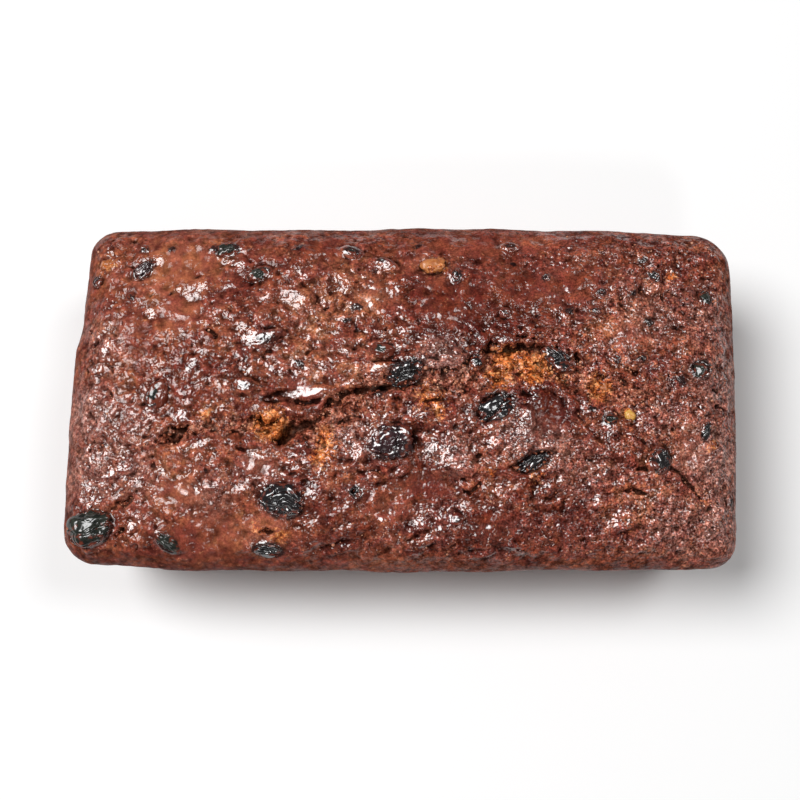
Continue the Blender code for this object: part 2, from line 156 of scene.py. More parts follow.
# Glazed places that lie towards the light: x, y, length, width, turn in degrees and shine.
GLAZED = [
    (-31.4, -2.4, 17, 3.2, 6, 1), (-55, 41.6, 9, 2, -6, 0.95), (-7, 41, 7.5, 3, -12, 0.95),
    (15.8, -41.8, 4.4, 3, -10, 0.9), (-44, 15.4, 9, 3, 20, 0.9), (-50, 0.2, 6.5, 4.6, 0, 1),
    (11.5, -20.8, 19, 9.5, -30, 0.6), (-35.6, 29, 10, 6.5, -4, 0.62),
    (-67, 31.6, 10, 6.5, 34, 0.58), (-20.2, 34.6, 7.5, 6.5, 80, 0.62),
    (-48, 16.2, 6, 4.4, 30, 0.95), (-8.6, 4.6, 10, 4.6, 20, 1), (1.4, 8.2, 3.6, 3, 10, 0.95),
    (12.8, 9.2, 7, 1.8, -2, 0.9), (33, 15.4, 9.5, 1.8, -10, 0.95), (37, -13.4, 12, 5, 78, 0.72),
    (26, -18, 8, 4.4, -14, 0.6), (44.4, -18.8, 5.4, 3, 22, 0.85), (46.8, -24.4, 4, 3.6, 0, 0.8),
    (39.6, -5.2, 3.8, 2.8, 20, 0.85), (49.2, -2.8, 3.2, 2.2, -24, 0.85), (52, -6, 4.2, 3, 0, 0.6),
    (57.2, -6, 3.2, 4, 0, 0.6), (64, -14.6, 6.5, 4.6, 60, 0.75), (61.4, -27.4, 5.6, 2.6, 32, 0.6),
    (43.4, -32.2, 6.4, 4.2, 10, 0.6), (66.7, -41.5, 9.5, 5.6, 6, 0.95),
    (76.4, -48.4, 9.5, 3, 28, 0.7), (4.4, -42.6, 6, 4.8, -12, 0.85), (6, -47.8, 9, 2.4, 8, 0.5),
    (-20.4, -50.4, 10.5, 2.6, 10, 0.65), (22.4, -52.4, 9.5, 2.2, 10, 0.55),
    (18.6, -37.6, 5.6, 2.6, -16, 0.7), (29, -32.2, 6.4, 2, -78, 0.65),
    (-28.8, -33.8, 7.2, 4.4, 70, 0.7), (-15, -20.6, 5.4, 4.6, 60, 0.65),
    (-1.6, -26.2, 5, 2.8, 22, 0.7), (-11, -28, 6, 2.4, -16, 0.6), (5.6, -9.8, 5.6, 1.6, 22, 0.8),
    (-35, -25.6, 6, 1.8, 8, 0.75), (-46.8, -21.2, 9.5, 1.9, -15, 0.8),
    (-58, -11.4, 6.5, 5.6, -30, 0.85), (-64, -18.4, 5.4, 2.4, 22, 0.7),
    (-64.4, -14.8, 3.6, 2, 10, 0.6), (-70.2, -9.2, 5.2, 3.4, 24, 0.85),
    (-81, -9.4, 4.4, 2.6, -8, 0.7), (-90, -26.2, 8, 3.2, 14, 0.7), (-97.2, -24, 5, 3.6, 24, 0.5),
    (-75, -26, 6, 2.4, -18, 0.65), (-63.2, -32.6, 5.6, 2, -36, 0.8), (-50.6, -32, 6, 2.6, -10, 0.6),
    (-84.8, -42.6, 5.6, 4, 60, 0.95), (-95.7, 12.8, 8.5, 2.6, 70, 0.9),
    (-97.2, 6.8, 3.6, 2.4, 40, 0.8), (-67.4, 6.2, 7.5, 1.7, 64, 0.9), (-65, 11.2, 5, 2, 14, 0.6),
    (-81.2, 24.2, 3.8, 3, 66, 0.8), (-73.6, 32.4, 4.4, 1.6, 32, 0.7),
    (-57, 32.6, 3.4, 1.8, 14, 0.65), (-56.6, 22.4, 4.6, 2, -26, 0.6),
    (-80.2, 43, 4.4, 2.6, 44, 0.6), (-44.6, 29, 4.4, 3.2, 66, 0.6),
    (-26.2, 28.2, 4.4, 2.8, -50, 0.65), (-19.8, 22.4, 3.4, 1.8, 8, 0.65),
    (-18.6, 10.8, 5, 3.4, -10, 0.6), (-0.2, 35.4, 2.8, 2, -20, 0.85),
    (3.8, 36.2, 2.4, 1.5, 34, 0.7), (20.4, 19.6, 4.2, 1.3, -32, 0.8),
    (24.2, 14.8, 4.6, 1.5, -38, 0.8), (41.4, 24.2, 3.6, 1.8, -10, 0.7),
    (49, 25, 3.2, 1.8, -44, 0.7), (72.2, 26.6, 4.6, 2, -22, 0.65), (79.6, 33.2, 6.4, 3.4, 24, 0.5),
    (84, 7.8, 4.2, 2.4, -22, 0.6), (93.6, -7.6, 4.4, 3, 50, 0.5), (-38.2, 4.8, 3.4, 2.2, 10, 0.65),
    (-45.6, 8.2, 2.8, 2, 0, 0.7), (-7.4, 16.4, 5.4, 1.7, 16, 0.75), (-3.6, 13.7, 6.4, 1.3, 10, 0.7),
]

# Where the crust is smooth, like a skin: x, y, half length and half width.
SMOOTH = [
    (45, -10, 7, 8), (6, -31, 10, 5), (-5, -37, 9, 6), (-69, 43, 11, 5), (-63, -47, 14, 7),
    (-46, -25, 7, 4), (15, 28, 13, 9), (50, 32, 12, 8), (70, 17, 9, 6), (-44, -43, 8, 3),
    (-31, -1, 10, 3.4), (-24, 46, 9, 5), (20, 48, 14, 5), (45, 49, 12, 4), (-70, -33, 9, 5),
    (-72, 24, 9, 6), (-8, 29, 8, 6), (92, -20, 6, 7), (28, -44, 10, 5),
]

# How brown the crust is: x, y, reach, and from -1, dark mahogany, to 1, orange-brown.
TONES = [
    (-70, 42, 16, 0.62), (-78, 24, 16, 0.45), (-95, 42, 10, 0.35), (-88, 8, 12, 0.3),
    (-98, -12, 12, -0.1), (-84, -20, 12, 0.2), (-72, -34, 16, 0.35), (-66, -48, 16, 0.05),
    (-46, -43, 10, 0.75), (-62, 8, 12, -0.1), (-55, 30, 14, 0.1), (-40, 24, 12, 0.3),
    (-28, 9, 9, 0.7), (-28, 24, 10, 0.6), (-12, 33, 12, 0.65), (-13, 9, 8, 0.6), (9, 38, 8, 0.35),
    (14, 25, 18, -0.7), (0, 20, 12, -0.3), (34, 33, 16, -0.45), (48, 22, 12, -0.4),
    (30, 49, 16, -0.05), (58, 46, 18, -0.05), (68, 18, 12, 0.55), (62, 29, 7, 0.4),
    (88, 34, 16, -0.05), (92, 12, 14, -0.1), (92, -16, 9, 0.3), (96, -40, 14, -0.15),
    (84, -31, 9, 0.45), (72, -26, 12, 0.05), (68, -36, 10, 0.15), (48, -42, 16, -0.4),
    (30, -46, 16, -0.55), (30, -26, 8, 0.3), (44, -9, 10, -0.8), (18, -12, 10, -0.1),
    (6, -31, 10, -0.75), (-5, -40, 16, -0.15), (-22, -40, 12, -0.25), (-46, -24, 8, -0.1),
    (-36, -30, 10, -0.2), (-22, -26, 8, 0.45), (-60, -22, 12, 0.1), (56, -20, 12, 0.05),
]
# How much the middle brown counts, beside the tones.
PLAIN_TONE_WEIGHT = 0.05

# How far each raisin and each dice of peel lies bare, by colour and number: above about 1, all of it.
# The crust lies over the rest as a dark, glazed veil.
BARE_RAISINS = {
    "purple": {1: 0.7, 4: 0.5, 12: 0.94, 22: 0.02, 31: 0.05, 32: 0.02, 33: 0.22},
    "green": {
        2: 0.66, 3: 0.6, 5: 1.1, 6: 0.76, 9: 0.46, 11: 0.52, 17: 0.62, 18: 0.7, 21: 0.3, 23: 0.52,
        38: 0.18, 39: 0.1,
    },
    "black": {
        7: 1.05, 8: 0.6, 10: 1, 13: 0.98, 14: 0.62, 15: 1, 16: 0.68, 19: 0.74, 20: 0.3, 26: 0.16,
        27: 0.42, 28: 0.26, 29: 0.26, 30: 0.14, 34: 0.56, 35: 0.54, 36: 0.14, 37: 0.14,
    },
}
BARE_PEEL = {
    "orange": {1: 0.46},
    "yellow": {2: 0.7},
    "brown": {3: 0.55, 4: 0.6},
}
FRUIT_LOOKS = {
    **{f"raisin_{n:02d}": (bare, hue) for hue, shares in BARE_RAISINS.items() for n, bare in shares.items()},
    **{f"peel_{n}": (bare, hue) for hue, shares in BARE_PEEL.items() for n, bare in shares.items()},
}
PLAIN_LOOK = (0.40, "black")
WALL_LOOK = (0.62, "black")
# Fruit lower than this is in a wall.
WALL_FRUIT_TOP = RIM_HEIGHT - 4
# How far off its middle, as a share of its size, the crust leaves a piece of fruit bare.
MOST_OFF_MIDDLE = 0.16

# Round swellings over fruit that the crust hides, beside the ones under each glazed place.
HIDDEN_LUMPS = 170
LUMPS_TO_X, LUMPS_TO_Y = 100, 52
LUMP_SIZES = (4.0, 9.0)
LUMP_HEIGHTS = (0.25, 0.8)

# Loose crumbs and baked-on grains: how many, their least and greatest radii, and the share of the
# radius that each has sunk.
CRUMBS = (1100, 0.20, 0.70, 0.25)
GRAINS = (1500, 0.22, 0.60, 0.45)
DEEPEST_CRUMB = -3.0
GRAIN_STRETCHES, GRAIN_UNEVENNESS = (0.65, 1.25), (0.84, 1.12)
# The higher this is, the more small grains there are for each large one.
SMALL_GRAINS = 2.2

# What each kind of random draw starts from. Raisins and peel add their own number.
SEEDS = {"relief": 11, "hidden lumps": 5, "grains": 21, "raisin": 100, "peel": 200}

CAMERA_TARGET = Vector((-1.2, -2.0, 48.0)) * MM
CAMERA_DISTANCE = 390 * MM
CAMERA_ELEVATION = math.radians(79)
TOWARDS_CAMERA = Vector((0, -math.cos(CAMERA_ELEVATION), math.sin(CAMERA_ELEVATION)))
CAMERA_LENS = 54.0

# Lights: the way to each from the cake, its distance and width, and its power in watts.
LIGHTS = {
    "key": ((-0.49, 0.17, 0.86), 2.5, 1.40, 59.0),
    "right": ((0.44, 0.20, 0.87), 2.5, 0.85, 14.0),
    "front": ((0.10, -0.68, 0.72), 2.5, 0.36, 5.0),
}
WORLD_LIGHT = 0.10


# ---- the looks

# Each ramp's stops: the place from 0 to 1, then red, green and blue.
RAMPS = {
    "crust": [
        (0, 0.055, 0.0065, 0.0036), (0.25, 0.134, 0.022, 0.0112), (0.5, 0.264, 0.0625, 0.032),
        (0.75, 0.432, 0.138, 0.062), (1, 0.6, 0.255, 0.125),
    ],
    "wall": [(0.3, 0.12, 0.027, 0.015), (0.5, 0.202, 0.052, 0.028), (0.7, 0.308, 0.09, 0.048)],
    # The painted sheen: paler, pinker browns.
    "pale": [(0.36, 0.155, 0.044, 0.032), (0.52, 0.44, 0.18, 0.137), (0.64, 0.72, 0.39, 0.31)],
    "crumb": [
        (0.36, 0.05, 0.0085, 0.006), (0.46, 0.27, 0.06, 0.031), (0.55, 0.52, 0.185, 0.115),
        (0.64, 0.82, 0.48, 0.37),
    ],
    "orange": [
        (0.35, 0.07, 0.011, 0.0055), (0.45, 0.42, 0.085, 0.02), (0.54, 0.76, 0.225, 0.056),
        (0.66, 0.94, 0.52, 0.26),
    ],
    "loose crumb": [
        (0.36, 0.05, 0.0085, 0.005), (0.48, 0.2, 0.04, 0.019), (0.57, 0.4, 0.125, 0.062),
        (0.68, 0.66, 0.34, 0.22),
    ],
    "loose orange": [(0.38, 0.11, 0.018, 0.006), (0.5, 0.52, 0.13, 0.024), (0.64, 0.84, 0.39, 0.15)],
}
# Colours that the browns are multiplied by or mixed with.
WINE = (0.95, 0.86, 1.08)
FRUIT_STAIN = (0.010, 0.0045, 0.0050)
CLINGING_CRUST = (0.150, 0.0280, 0.0140)

# The crust's noises: the size in mm and the detail, and then the roughness and the starting place.
CRUST_NOISES = {
    "patch": (14, 3),
    "mottle": (3.2, 4, 0.65, 0.11),
    "speck": (1.0, 3, 0.7, 0.23),
    "wine": (6.5, 2, 0.55, 0.83),
    "grain": (0.62, 3, 0.65, 0.37),
    "blotch": (2.6, 2, 0.55, 0.61),
    "pool": (4.5, 2, 0.6, 0.53),
    "bead": (0.95, 0, 0.5, 0.31),
    "lump": (2.4, 0, 0.5, 0.71),
    "crumb": (1.2, 1, 0.5, 0.43),
}
GRANULE_SIZE = 1.5
# How deep the finest bumps are, in mm.
BEAD_DEPTH, LUMP_DEPTH, CRUMB_DEPTH = 0.44, 0.60, 0.60
# Where the crust's tone lies on its ramp, how far it goes either way, and what each noise adds.
MIDDLE_TONE, TONE_SPREAD = 0.46, 0.29
PATCH_SWING, MOTTLE_SWING, SPECK_SWING = 0.12, 0.22, 0.18
# How much smooth and dry places calm the crust, and how much a wall takes its own colour.
CALMING, WALL_SHARE = 0.6, 0.7

# One value by another: as this goes from the first number to the second, that goes from the third
# to the fourth, or from 0 to 1.
COARSENING = (-55 * MM, 70 * MM, 0.80, 1.60)
WINE_PLACES = (0.46, 0.58)
# How strongly the painted sheen shows, by the mottle.
PAINTED_SHEEN_BY_MOTTLE = (0.35, 0.60, 0.40, 1.00)
STAIN_BY_DARK = (0.30, 0.70, 0.00, 0.92)
# Painted shade: the crust is darker where it lies sunk, and crumb goes less dark except where it lies
# deepest.
PAINTED_SHADE_BY_HOLLOW = (-0.75, 0.10, 0.10, 1.00)
CRUMB_PAINTED_SHADE_BY_HOLLOW = (-1.90, -0.80, 0.07, 0.27)
# Darker pits and lighter specks painted on the grains, as painted shade and painted glints.
PAINTED_PITS_AND_GLINTS_BY_GRAIN = (0.36, 0.62, -0.50, 0.60)
SHADE_BY_BLOTCH = (0.32, 0.68, -0.52, 0.46)
# Painted shade between the granules.
PAINTED_SHADE_BY_GRANULE = (0.40, 0.72, 1.00, 0.62)
GRAIN_BY_DRY = (0.00, 1.00, 1.00, 0.35)
POOLS_BY_DRY = (0.00, 1.00, 1.00, 0.08)
WET_BY_POOL = (0.38, 0.60, 0.00, 0.95)
SHINE_BY_WET = (0.00, 1.00, 0.08, 1.00)
ROUGH_BY_POLISH = (0.00, 1.00, 0.65, 0.25)
ROUGH_BY_MOTTLE = (0.30, 0.70, -0.08, 0.12)
COAT_BY_SHADE = (0.26, 0.62, 0.02, 1.00)
PITTING_BY_EVEN = (0.00, 1.00, 1.00, 0.20)
LUMPS_BY_GLAZE = (0.00, 1.00, 1.00, 0.30)

# Skins by colour: a darker and a lighter colour, which noise mixes, the folds' depth in mm and the gloss.
RAISIN_SKINS = {
    "black": ((0.0020, 0.0016, 0.0020), (0.010, 0.006, 0.007), 0.7, 1.0),
    "purple": ((0.0110, 0.0030, 0.0040), (0.055, 0.016, 0.020), 0.6, 0.9),
    "green": ((0.0060, 0.0070, 0.0056), (0.030, 0.034, 0.025), 0.3, 0.5),
}
# The share of the folds' depth that a plump kind of raisin has. The others have all of it.
FOLD_SHARES = {"green": 0.35}
# A raisin's folds: how deep and how wide, as shares of its size and of the noise that bends them.
LONG_FOLDS, SHORT_FOLDS = (0.20, 0.12), (0.12, 0.11)
# Peel by colour: where syrup has soaked it, and where not.
PEEL_SKINS = {
    "orange": ((0.36, 0.090, 0.018), (0.66, 0.260, 0.080)),
    "yellow": ((0.56, 0.240, 0.030), (0.80, 0.470, 0.110)),
    "brown": ((0.22, 0.050, 0.010), (0.50, 0.150, 0.030)),
}
# A raisin whose half length is more than this, in mm, is a finer ball.
LARGE_RAISIN = 5.4
FINE_BALL, FINER_BALL = 5, 6

# ---- the relief's sizes, in mm

# Each noise over the loaf: where in the noise it starts, so that it is its own, and the size of its
# lumps. Where more follows, it has that many layers, each finer one weaker by the last number.
NOISES = {
    "outline x": (0.0, 7.0, 4, 0.6),
    "outline y": (91.3, 7.0, 4, 0.6),
    "broad swells": (0.0, 16.0, 2),
    "small swells": (11.1, 5.5, 2),
    "crack's bends": (5.0, 9.0, 2),
    "crack's edge": (15.0, 3.4, 3, 0.7),
    "crack's depth": (33.0, 8.0),
    "lip": (71.0, 7.0),
    "clods": (23.0, 3.4),
    "crumbs": (43.0, 1.9),
    "crevice's width": (9.0, 3.2),
    "crevice's depth": (37.0, 4.0),
    "patches of grain": (47.0, 13.0),
    "coarse grain": (3.3, 2.6),
    "fine grain": (61.7, 1.45),
    "pits": (83.0, 2.9),
    "wall creases": (19.0, (22.0, 22.0, 9.0)),
    "wall pores": (77.0, 2.6),
    "wall swells": (29.0, 9.0),
    "base pores": (54.0, 3.1),
}
OUTLINE_SHAKE = 1.1
CROWN_START = 6.0
BROAD_SWELL, SMALL_SWELL = 0.45, 0.55
COARSE_GRAIN, FINE_GRAIN, PIT_DEPTH = 0.27, 0.19, 0.45
PORE_DEPTH, CREASE_DEPTH, WALL_SWELL = 0.55, 0.30, 0.25
WALL_PORES_TOP = 30
DARK_BIT_HEIGHT = 0.5
# How many times as far as their reach the places in each table spread, and how flat a dark bit is.
ORANGE_SPREAD, CALM_SPREAD, DARK_SPREAD = 1.35, 1.4, 1.5
DARK_SQUASH = 1.3
GLAZE_HEIGHT = 0.35
CREVICE_EDGE, CREVICE_REACH = 0.3, 24

# Across the long crack, in its half widths from its middle line, positive towards the back.
CRACK_FRONT, FRONT_SLOPE = -1.1, 1.3
CRACK_BACK, BACK_SLOPE = 0.72, 0.26
LIP_PLACE, LIP_WIDTH = 1.16, 0.17
LIP_HEIGHT, LIP_OVERHANG = 0.9, 1.2
CLOD_HEIGHT, CRUMB_HEIGHT = 1.3, 0.75

# How the crust meets the fruit: slopes and edges as shares of the fruit's half sizes, the rest in mm.
MOST_OPENED, OPENING_EDGE = 0.90, 0.20
FRUIT_SHARE_UP, FRUIT_SHARE_ACROSS = 0.92, 0.97
VEIL_START, VEIL_SLOPE = 0.85, 0.55
VEIL_THICKNESS, OPENING_DROP = 0.22, 0.8
VEIL_GLAZE = 0.80

# How many times the relief is evened out, before what stands out of it, or lies sunk in it, is measured for
# the painted shade in hollows.
TIGHT_BLUR, BROAD_BLUR = 8, 60
TIGHT_SHARE, BROAD_SHARE, MOST_HOLLOW = 2.2, 0.5, 2
# Over how many mm from the rim the wall's look gives way to the top's.
WALL_LOOK_FROM, WALL_LOOK_RUN = 1.0, 7.0
# What each point of the crust stores for the material, among it how sunk it lies, for painted shade, and
# where a paler sheen is painted.
STORED = ("tone", "crumb", "orange", "dark", "pale", "dry", "glaze", "smooth", "hollow", "wall")


# ---- small helpers


def smooth_step(t):
    t = np.clip(t, 0.0, 1.0)
    return t * t * (3 - 2 * t)


def hump(distance, reach):
    """A smooth hump: 1 at no distance and 0 from the reach on."""
    t = np.clip(1 - (distance / reach) ** 2, 0, None)
    return t * t


def keep_most(values, found, others):
    """Raises the found values to the others, where those are higher."""
    values[found] = np.maximum(values[found], others)


class Noise:
    """Smooth gradient noise over points in mm, from about -1 to 1."""

    def __init__(self, seed):
        chosen = np.random.default_rng(seed)
        self.order = np.tile(chosen.permutation(256), 2)
        directions = chosen.normal(size=(256, 3))
        self.directions = directions / np.linalg.norm(directions, axis=1)[:, None]

    def __call__(self, points, size):
        """Noise whose lumps are about this size. The size may differ along each axis."""
        scaled = points / np.asarray(size, float)
        cell = np.floor(scaled).astype(int)
        local = scaled - cell
        ease = local**3 * (local * (local * 6 - 15) + 10)
        cell &= 255
        total = np.zeros(len(points))
        for corner in np.ndindex(2, 2, 2):
            row = cell + corner
            picked = self.order[self.order[self.order[row[:, 0]] + row[:, 1] & 255] + row[:, 2] & 255]
            dot = np.einsum("ij,ij->i", self.directions[picked], local - corner)
            share = np.prod(np.where(corner, ease, 1 - ease), axis=1)
            total += dot * share
        return 1.8 * total

    def layered(self, points, size, layers=1, fade=0.5):
        """Several sizes of noise, each half the last, added together."""
        total, strength = np.zeros(len(points)), 1.0
        for layer in range(layers):
            total += strength * self(points + 37.7 * layer, np.asarray(size) / 2**layer)
            strength *= fade
        return total


def read_vectors(items, key):
    """One vector of each of a mesh's items."""
    values = np.empty(len(items) * 3, np.float32)
    items.foreach_get(key, values)
    return values.reshape(-1, 3).astype(float)


def move_points(mesh, points):
    """Moves a mesh's points to these places in mm."""
    mesh.vertices.foreach_set("co", (points * MM).astype(np.float32).ravel())


def store(mesh, name, values):
    """Stores a value at each point, which a material can read."""
    attribute = mesh.attributes.new(name, "FLOAT", "POINT")
    attribute.data.foreach_set("value", values.astype(np.float32))


def placed(name, data):
    """A new object in the scene."""
    obj = bpy.data.objects.new(name, data)
    bpy.context.scene.collection.objects.link(obj)
    return obj


def aim(obj, way, place):
    """Puts a light or the camera at a place, where it looks back along the way."""
    obj.location = place
    obj.rotation_mode = "QUATERNION"
    obj.rotation_quaternion = (-way).to_track_quat("-Z", "Y")


# ---- the loaf's form


def by_corner(x, y, table):
    """What a table of the four corners says for the corner that each point is nearest to."""
    right, back = x >= 0, y >= 0
    values = np.empty_like(x)
    for (side_x, side_y), value in table.items():
        values[(right == (side_x > 0)) & (back == (side_y > 0))] = value
    return values


def plan_point(u, v):
    """Points of the square from -1 to 1 as points of the loaf's rounded plan at the rim."""
    ring = np.maximum(np.abs(u), np.abs(v))
    x = u / np.maximum(ring, TINY) * HALF_LENGTH
    y = v / np.maximum(ring, TINY) * HALF_WIDTH
    radius = by_corner(x, y, CORNER_RADII)
    centre_x = np.copysign(HALF_LENGTH - radius, x)
    centre_y = np.copysign(HALF_WIDTH - radius, y)
    out_x, out_y = np.abs(x) - np.abs(centre_x), np.abs(y) - np.abs(centre_y)
    rounded = (out_x > 0) & (out_y > 0)
    reach = np.where(rounded, radius / np.maximum(np.hypot(out_x, out_y), TINY), 1.0)
    x = np.where(rounded, centre_x + (x - centre_x) * reach, x)
    y = np.where(rounded, centre_y + (y - centre_y) * reach, y)
    return x * ring, y * ring


def distance_inside(x, y):
    """How far points lie inside the rounded plan."""
    radius = by_corner(x, y, CORNER_RADII)
    past_x = np.abs(x) - (HALF_LENGTH - radius)
    past_y = np.abs(y) - (HALF_WIDTH - radius)
    outside = np.hypot(np.maximum(past_x, 0), np.maximum(past_y, 0))
    return radius - outside - np.minimum(np.maximum(past_x, past_y), 0)


def top_height(x, y):
    """Height of the top crust, without its relief."""
    depth = np.maximum(distance_inside(x, y), 0.0)
    rounding = 1 - np.minimum(depth / SHOULDER_WIDTH, 1.0)
    shoulder = SHOULDER_RISE * np.sqrt(1 - rounding * rounding)
    along = 1 - np.minimum(np.abs(x) / HALF_LENGTH, 1.0) ** DOME_POWERS[0]
    across = 1 - np.minimum(np.abs(y) / HALF_WIDTH, 1.0) ** DOME_POWERS[1]
    dome = (CROWN_HEIGHT - RIM_HEIGHT - SHOULDER_RISE) * along * across
    swell = sum(h * np.sin(a * x + b * y + phase) for h, a, b, phase in SWELLS)
    return RIM_HEIGHT + shoulder + dome + swell * smooth_step(depth / SHOULDER_WIDTH)


def wall_inset(z):
    """How far the wall at height z lies inside the rim's outline."""
    below = np.clip(1 - z / FOOT_RADIUS, 0, 1)
    foot = FOOT_RADIUS * (1 - np.sqrt(1 - below * below))
    return BASE_INSET * (1 - z / RIM_HEIGHT) + foot


def uneven(x, y):
    """Moves points of the true plan to where the slightly crooked loaf has them."""
    end, side = x / HALF_LENGTH, y / HALF_WIDTH
    set_back = END_DENT * smooth_step((y - DENT_START) / DENT_RUN) * np.maximum(-end, 0) ** 3
    bow_x = END_BOW * end * (1 - side * side)
    bow_y = SIDE_BOW * side * (1 - end * end)
    ripple = side * sum(h * np.sin(along * x + phase) for h, along, phase in SIDE_RIPPLES)
    run = by_corner(x, y, CORNER_PULL_RUNS)
    nearness = np.maximum(1 - (HALF_LENGTH - np.abs(x)) / run, 0.0)
    drawn_in = by_corner(x, y, CORNER_PULLS) * nearness**2 * side * np.abs(side)
    return x + LEAN * y + set_back + bow_x, y + bow_y + ripple - drawn_in


def crowded(t):
    """Moves evenly spaced places from -1 to 1 towards both ends."""
    return (1 - EDGE_CROWDING) * t + EDGE_CROWDING * np.sin(math.pi / 2 * t)


class Loaf:
    """The loaf as a finely divided box: its points, its faces and which side each point is on."""

    def __init__(self):
        u, v, down, self.on_base = self.divide()
        u, v = crowded(u), crowded(v)
        x, y = plan_point(u, v)
        self.inside = distance_inside(x, y)
        on_top = (down == 0) & ~self.on_base
        z = np.where(on_top, top_height(x, y), RIM_HEIGHT * (1 - down))
        inset = np.where(on_top, 0.0, wall_inset(z))
        x, y = uneven(x * (1 - inset / HALF_LENGTH), y * (1 - inset / HALF_WIDTH))
        self.points = np.column_stack((x, y, z))
        self.on_top = on_top
        self.mesh = bpy.data.meshes.new("loaf_crust")
        self.write_faces()
        self.normals = read_vectors(self.mesh.vertex_normals, "vector")

    def divide(self):
        """Places on the box's sides, and its four-sided faces, which share their corners."""
        nx, ny, nz = CUTS_ALONG, CUTS_ACROSS, CUTS_DOWN
        i, j = np.meshgrid(np.arange(nx + 1), np.arange(ny + 1), indexing="ij")
        sheet = np.arange((nx + 1) * (ny + 1)).reshape(nx + 1, ny + 1)
        rim = np.concatenate((sheet[:-1, 0], sheet[-1, :-1], sheet[:0:-1, -1], sheet[0, :0:-1]))
        u, v = (2 * i / nx - 1).ravel(), (2 * j / ny - 1).ravel()
        levels = np.arange(1, nz) / nz
        base_start = sheet.size + (nz - 1) * rim.size
        rows = [rim, *(sheet.size + k * rim.size + np.arange(rim.size) for k in range(nz - 1))]
        rows.append(base_start + rim)
        top = np.stack((sheet[:-1, :-1], sheet[1:, :-1], sheet[1:, 1:], sheet[:-1, 1:]), -1)
        faces = [top.reshape(-1, 4), base_start + top.reshape(-1, 4)[:, ::-1]]
        for upper, lower in zip(rows, rows[1:]):
            faces.append(np.column_stack((upper, lower, np.roll(lower, -1), np.roll(upper, -1))))
        self.faces = np.concatenate(faces)
        u = np.concatenate((u, np.tile(u[rim], nz - 1), u))
        v = np.concatenate((v, np.tile(v[rim], nz - 1), v))
        down = np.concatenate((np.zeros(sheet.size), np.repeat(levels, rim.size), np.ones(sheet.size)))
        on_base = np.zeros(len(u), bool)
        on_base[base_start:] = True
        return u, v, down, on_base

    def write_faces(self):
        mesh, count = self.mesh, len(self.faces)
        mesh.vertices.add(len(self.points))
        move_points(mesh, self.points)
        mesh.loops.add(count * 4)
        mesh.loops.foreach_set("vertex_index", self.faces.astype(np.int32).ravel())
        mesh.polygons.add(count)
        mesh.polygons.foreach_set("loop_start", np.arange(count, dtype=np.int32) * 4)
        mesh.update(calc_edges=True)

    def blurred(self, values, rounds):
        """The values evened out between neighbouring points, so many times."""
        first, second = self.edges
        count = len(values)
        share = 1 / (np.bincount(first, minlength=count) + np.bincount(second, minlength=count))
        for _ in range(rounds):
            total = np.bincount(first, values[second], count) + np.bincount(second, values[first], count)
            values = 0.5 * values + 0.5 * total * share
        return values

    @property
    def edges(self):
        pairs = np.empty(len(self.mesh.edges) * 2, np.int32)
        self.mesh.edges.foreach_get("vertices", pairs)
        return pairs[0::2], pairs[1::2]


# ---- the fruit's places


class Fruit:
    """Where the part has one piece of fruit: its middle, its own axes and its half sizes, in mm."""

    def __init__(self, name):
        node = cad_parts[name]
        points = np.array([vertex.co for vertex in node.data.vertices]) / MM
        self.name = name
        self.middle = points.mean(axis=0)
        away = points - self.middle
        _, axes = np.linalg.eigh(away.T @ away)
        outward = self.outward()
        facing = int(np.argmax(np.abs(axes.T @ outward)))
        length, width = [k for k in (2, 1, 0) if k != facing]
        up = axes[:, facing] * np.sign(axes[:, facing] @ outward)
        side = axes[:, length] * np.sign(axes[:, length] @ (1.0, 0.3, 0.1))
        self.axes = np.array((side, np.cross(up, side), up))
        spread = away @ self.axes.T
        self.half = (spread.max(axis=0) - spread.min(axis=0)) / 2
        self.is_raisin = name.startswith("raisin")
        plain = PLAIN_LOOK if outward[2] > 0.5 else WALL_LOOK
        self.bare, self.colour = FRUIT_LOOKS.get(name, plain)
        chosen = np.random.default_rng(int(abs(self.middle).sum() * 10))
        self.off_middle = chosen.uniform(-MOST_OFF_MIDDLE, MOST_OFF_MIDDLE, 2)

    def outward(self):
        """Which way the loaf's surface faces there."""
        x, y, z = self.middle
        if z > WALL_FRUIT_TOP:
            return np.array((0.0, 0.0, 1.0))
        if HALF_WIDTH - abs(y) < HALF_LENGTH - abs(x):
            return np.array((0.0, np.sign(y), 0.0))
        return np.array((np.sign(x), 0.0, 0.0))

    def local(self, points):
        """Points in the fruit's own axes, from its middle."""
        return (points - self.middle) @ self.axes.T


# ---- the crust's relief


def along_path(x, y, path):
    """For each point: its distance from a path, on which side it is, and the path's half width
    and depth at the nearest place. A point on the path's left has a positive side."""
    nearest = np.full(len(x), np.inf)
    side, half_width, depth = np.zeros(len(x)), np.ones(len(x)), np.zeros(len(x))
    for (x0, y0, w0, d0), (x1, y1, w1, d1) in zip(path, path[1:]):
        run_x, run_y = x1 - x0, y1 - y0
        t = np.clip(((x - x0) * run_x + (y - y0) * run_y) / (run_x**2 + run_y**2), 0, 1)
        off_x, off_y = x - x0 - t * run_x, y - y0 - t * run_y
        distance = np.hypot(off_x, off_y)
        nearer = distance < nearest
        nearest[nearer] = distance[nearer]
        side[nearer] = np.sign(run_x * off_y - run_y * off_x)[nearer]
        half_width[nearer] = (w0 + t * (w1 - w0))[nearer]
        depth[nearer] = (d0 + t * (d1 - d0))[nearer]
    return nearest, side, half_width, depth


def oval(x, y, at_x, at_y, length, width, turn):
    """How far points are from an oval's middle: 1 on its outline."""
    c, s = math.cos(math.radians(turn)), math.sin(math.radians(turn))
    across_x, across_y = x - at_x, y - at_y
    return np.hypot((across_x * c + across_y * s) * 2 / length, (across_y * c - across_x * s) * 2 / width)


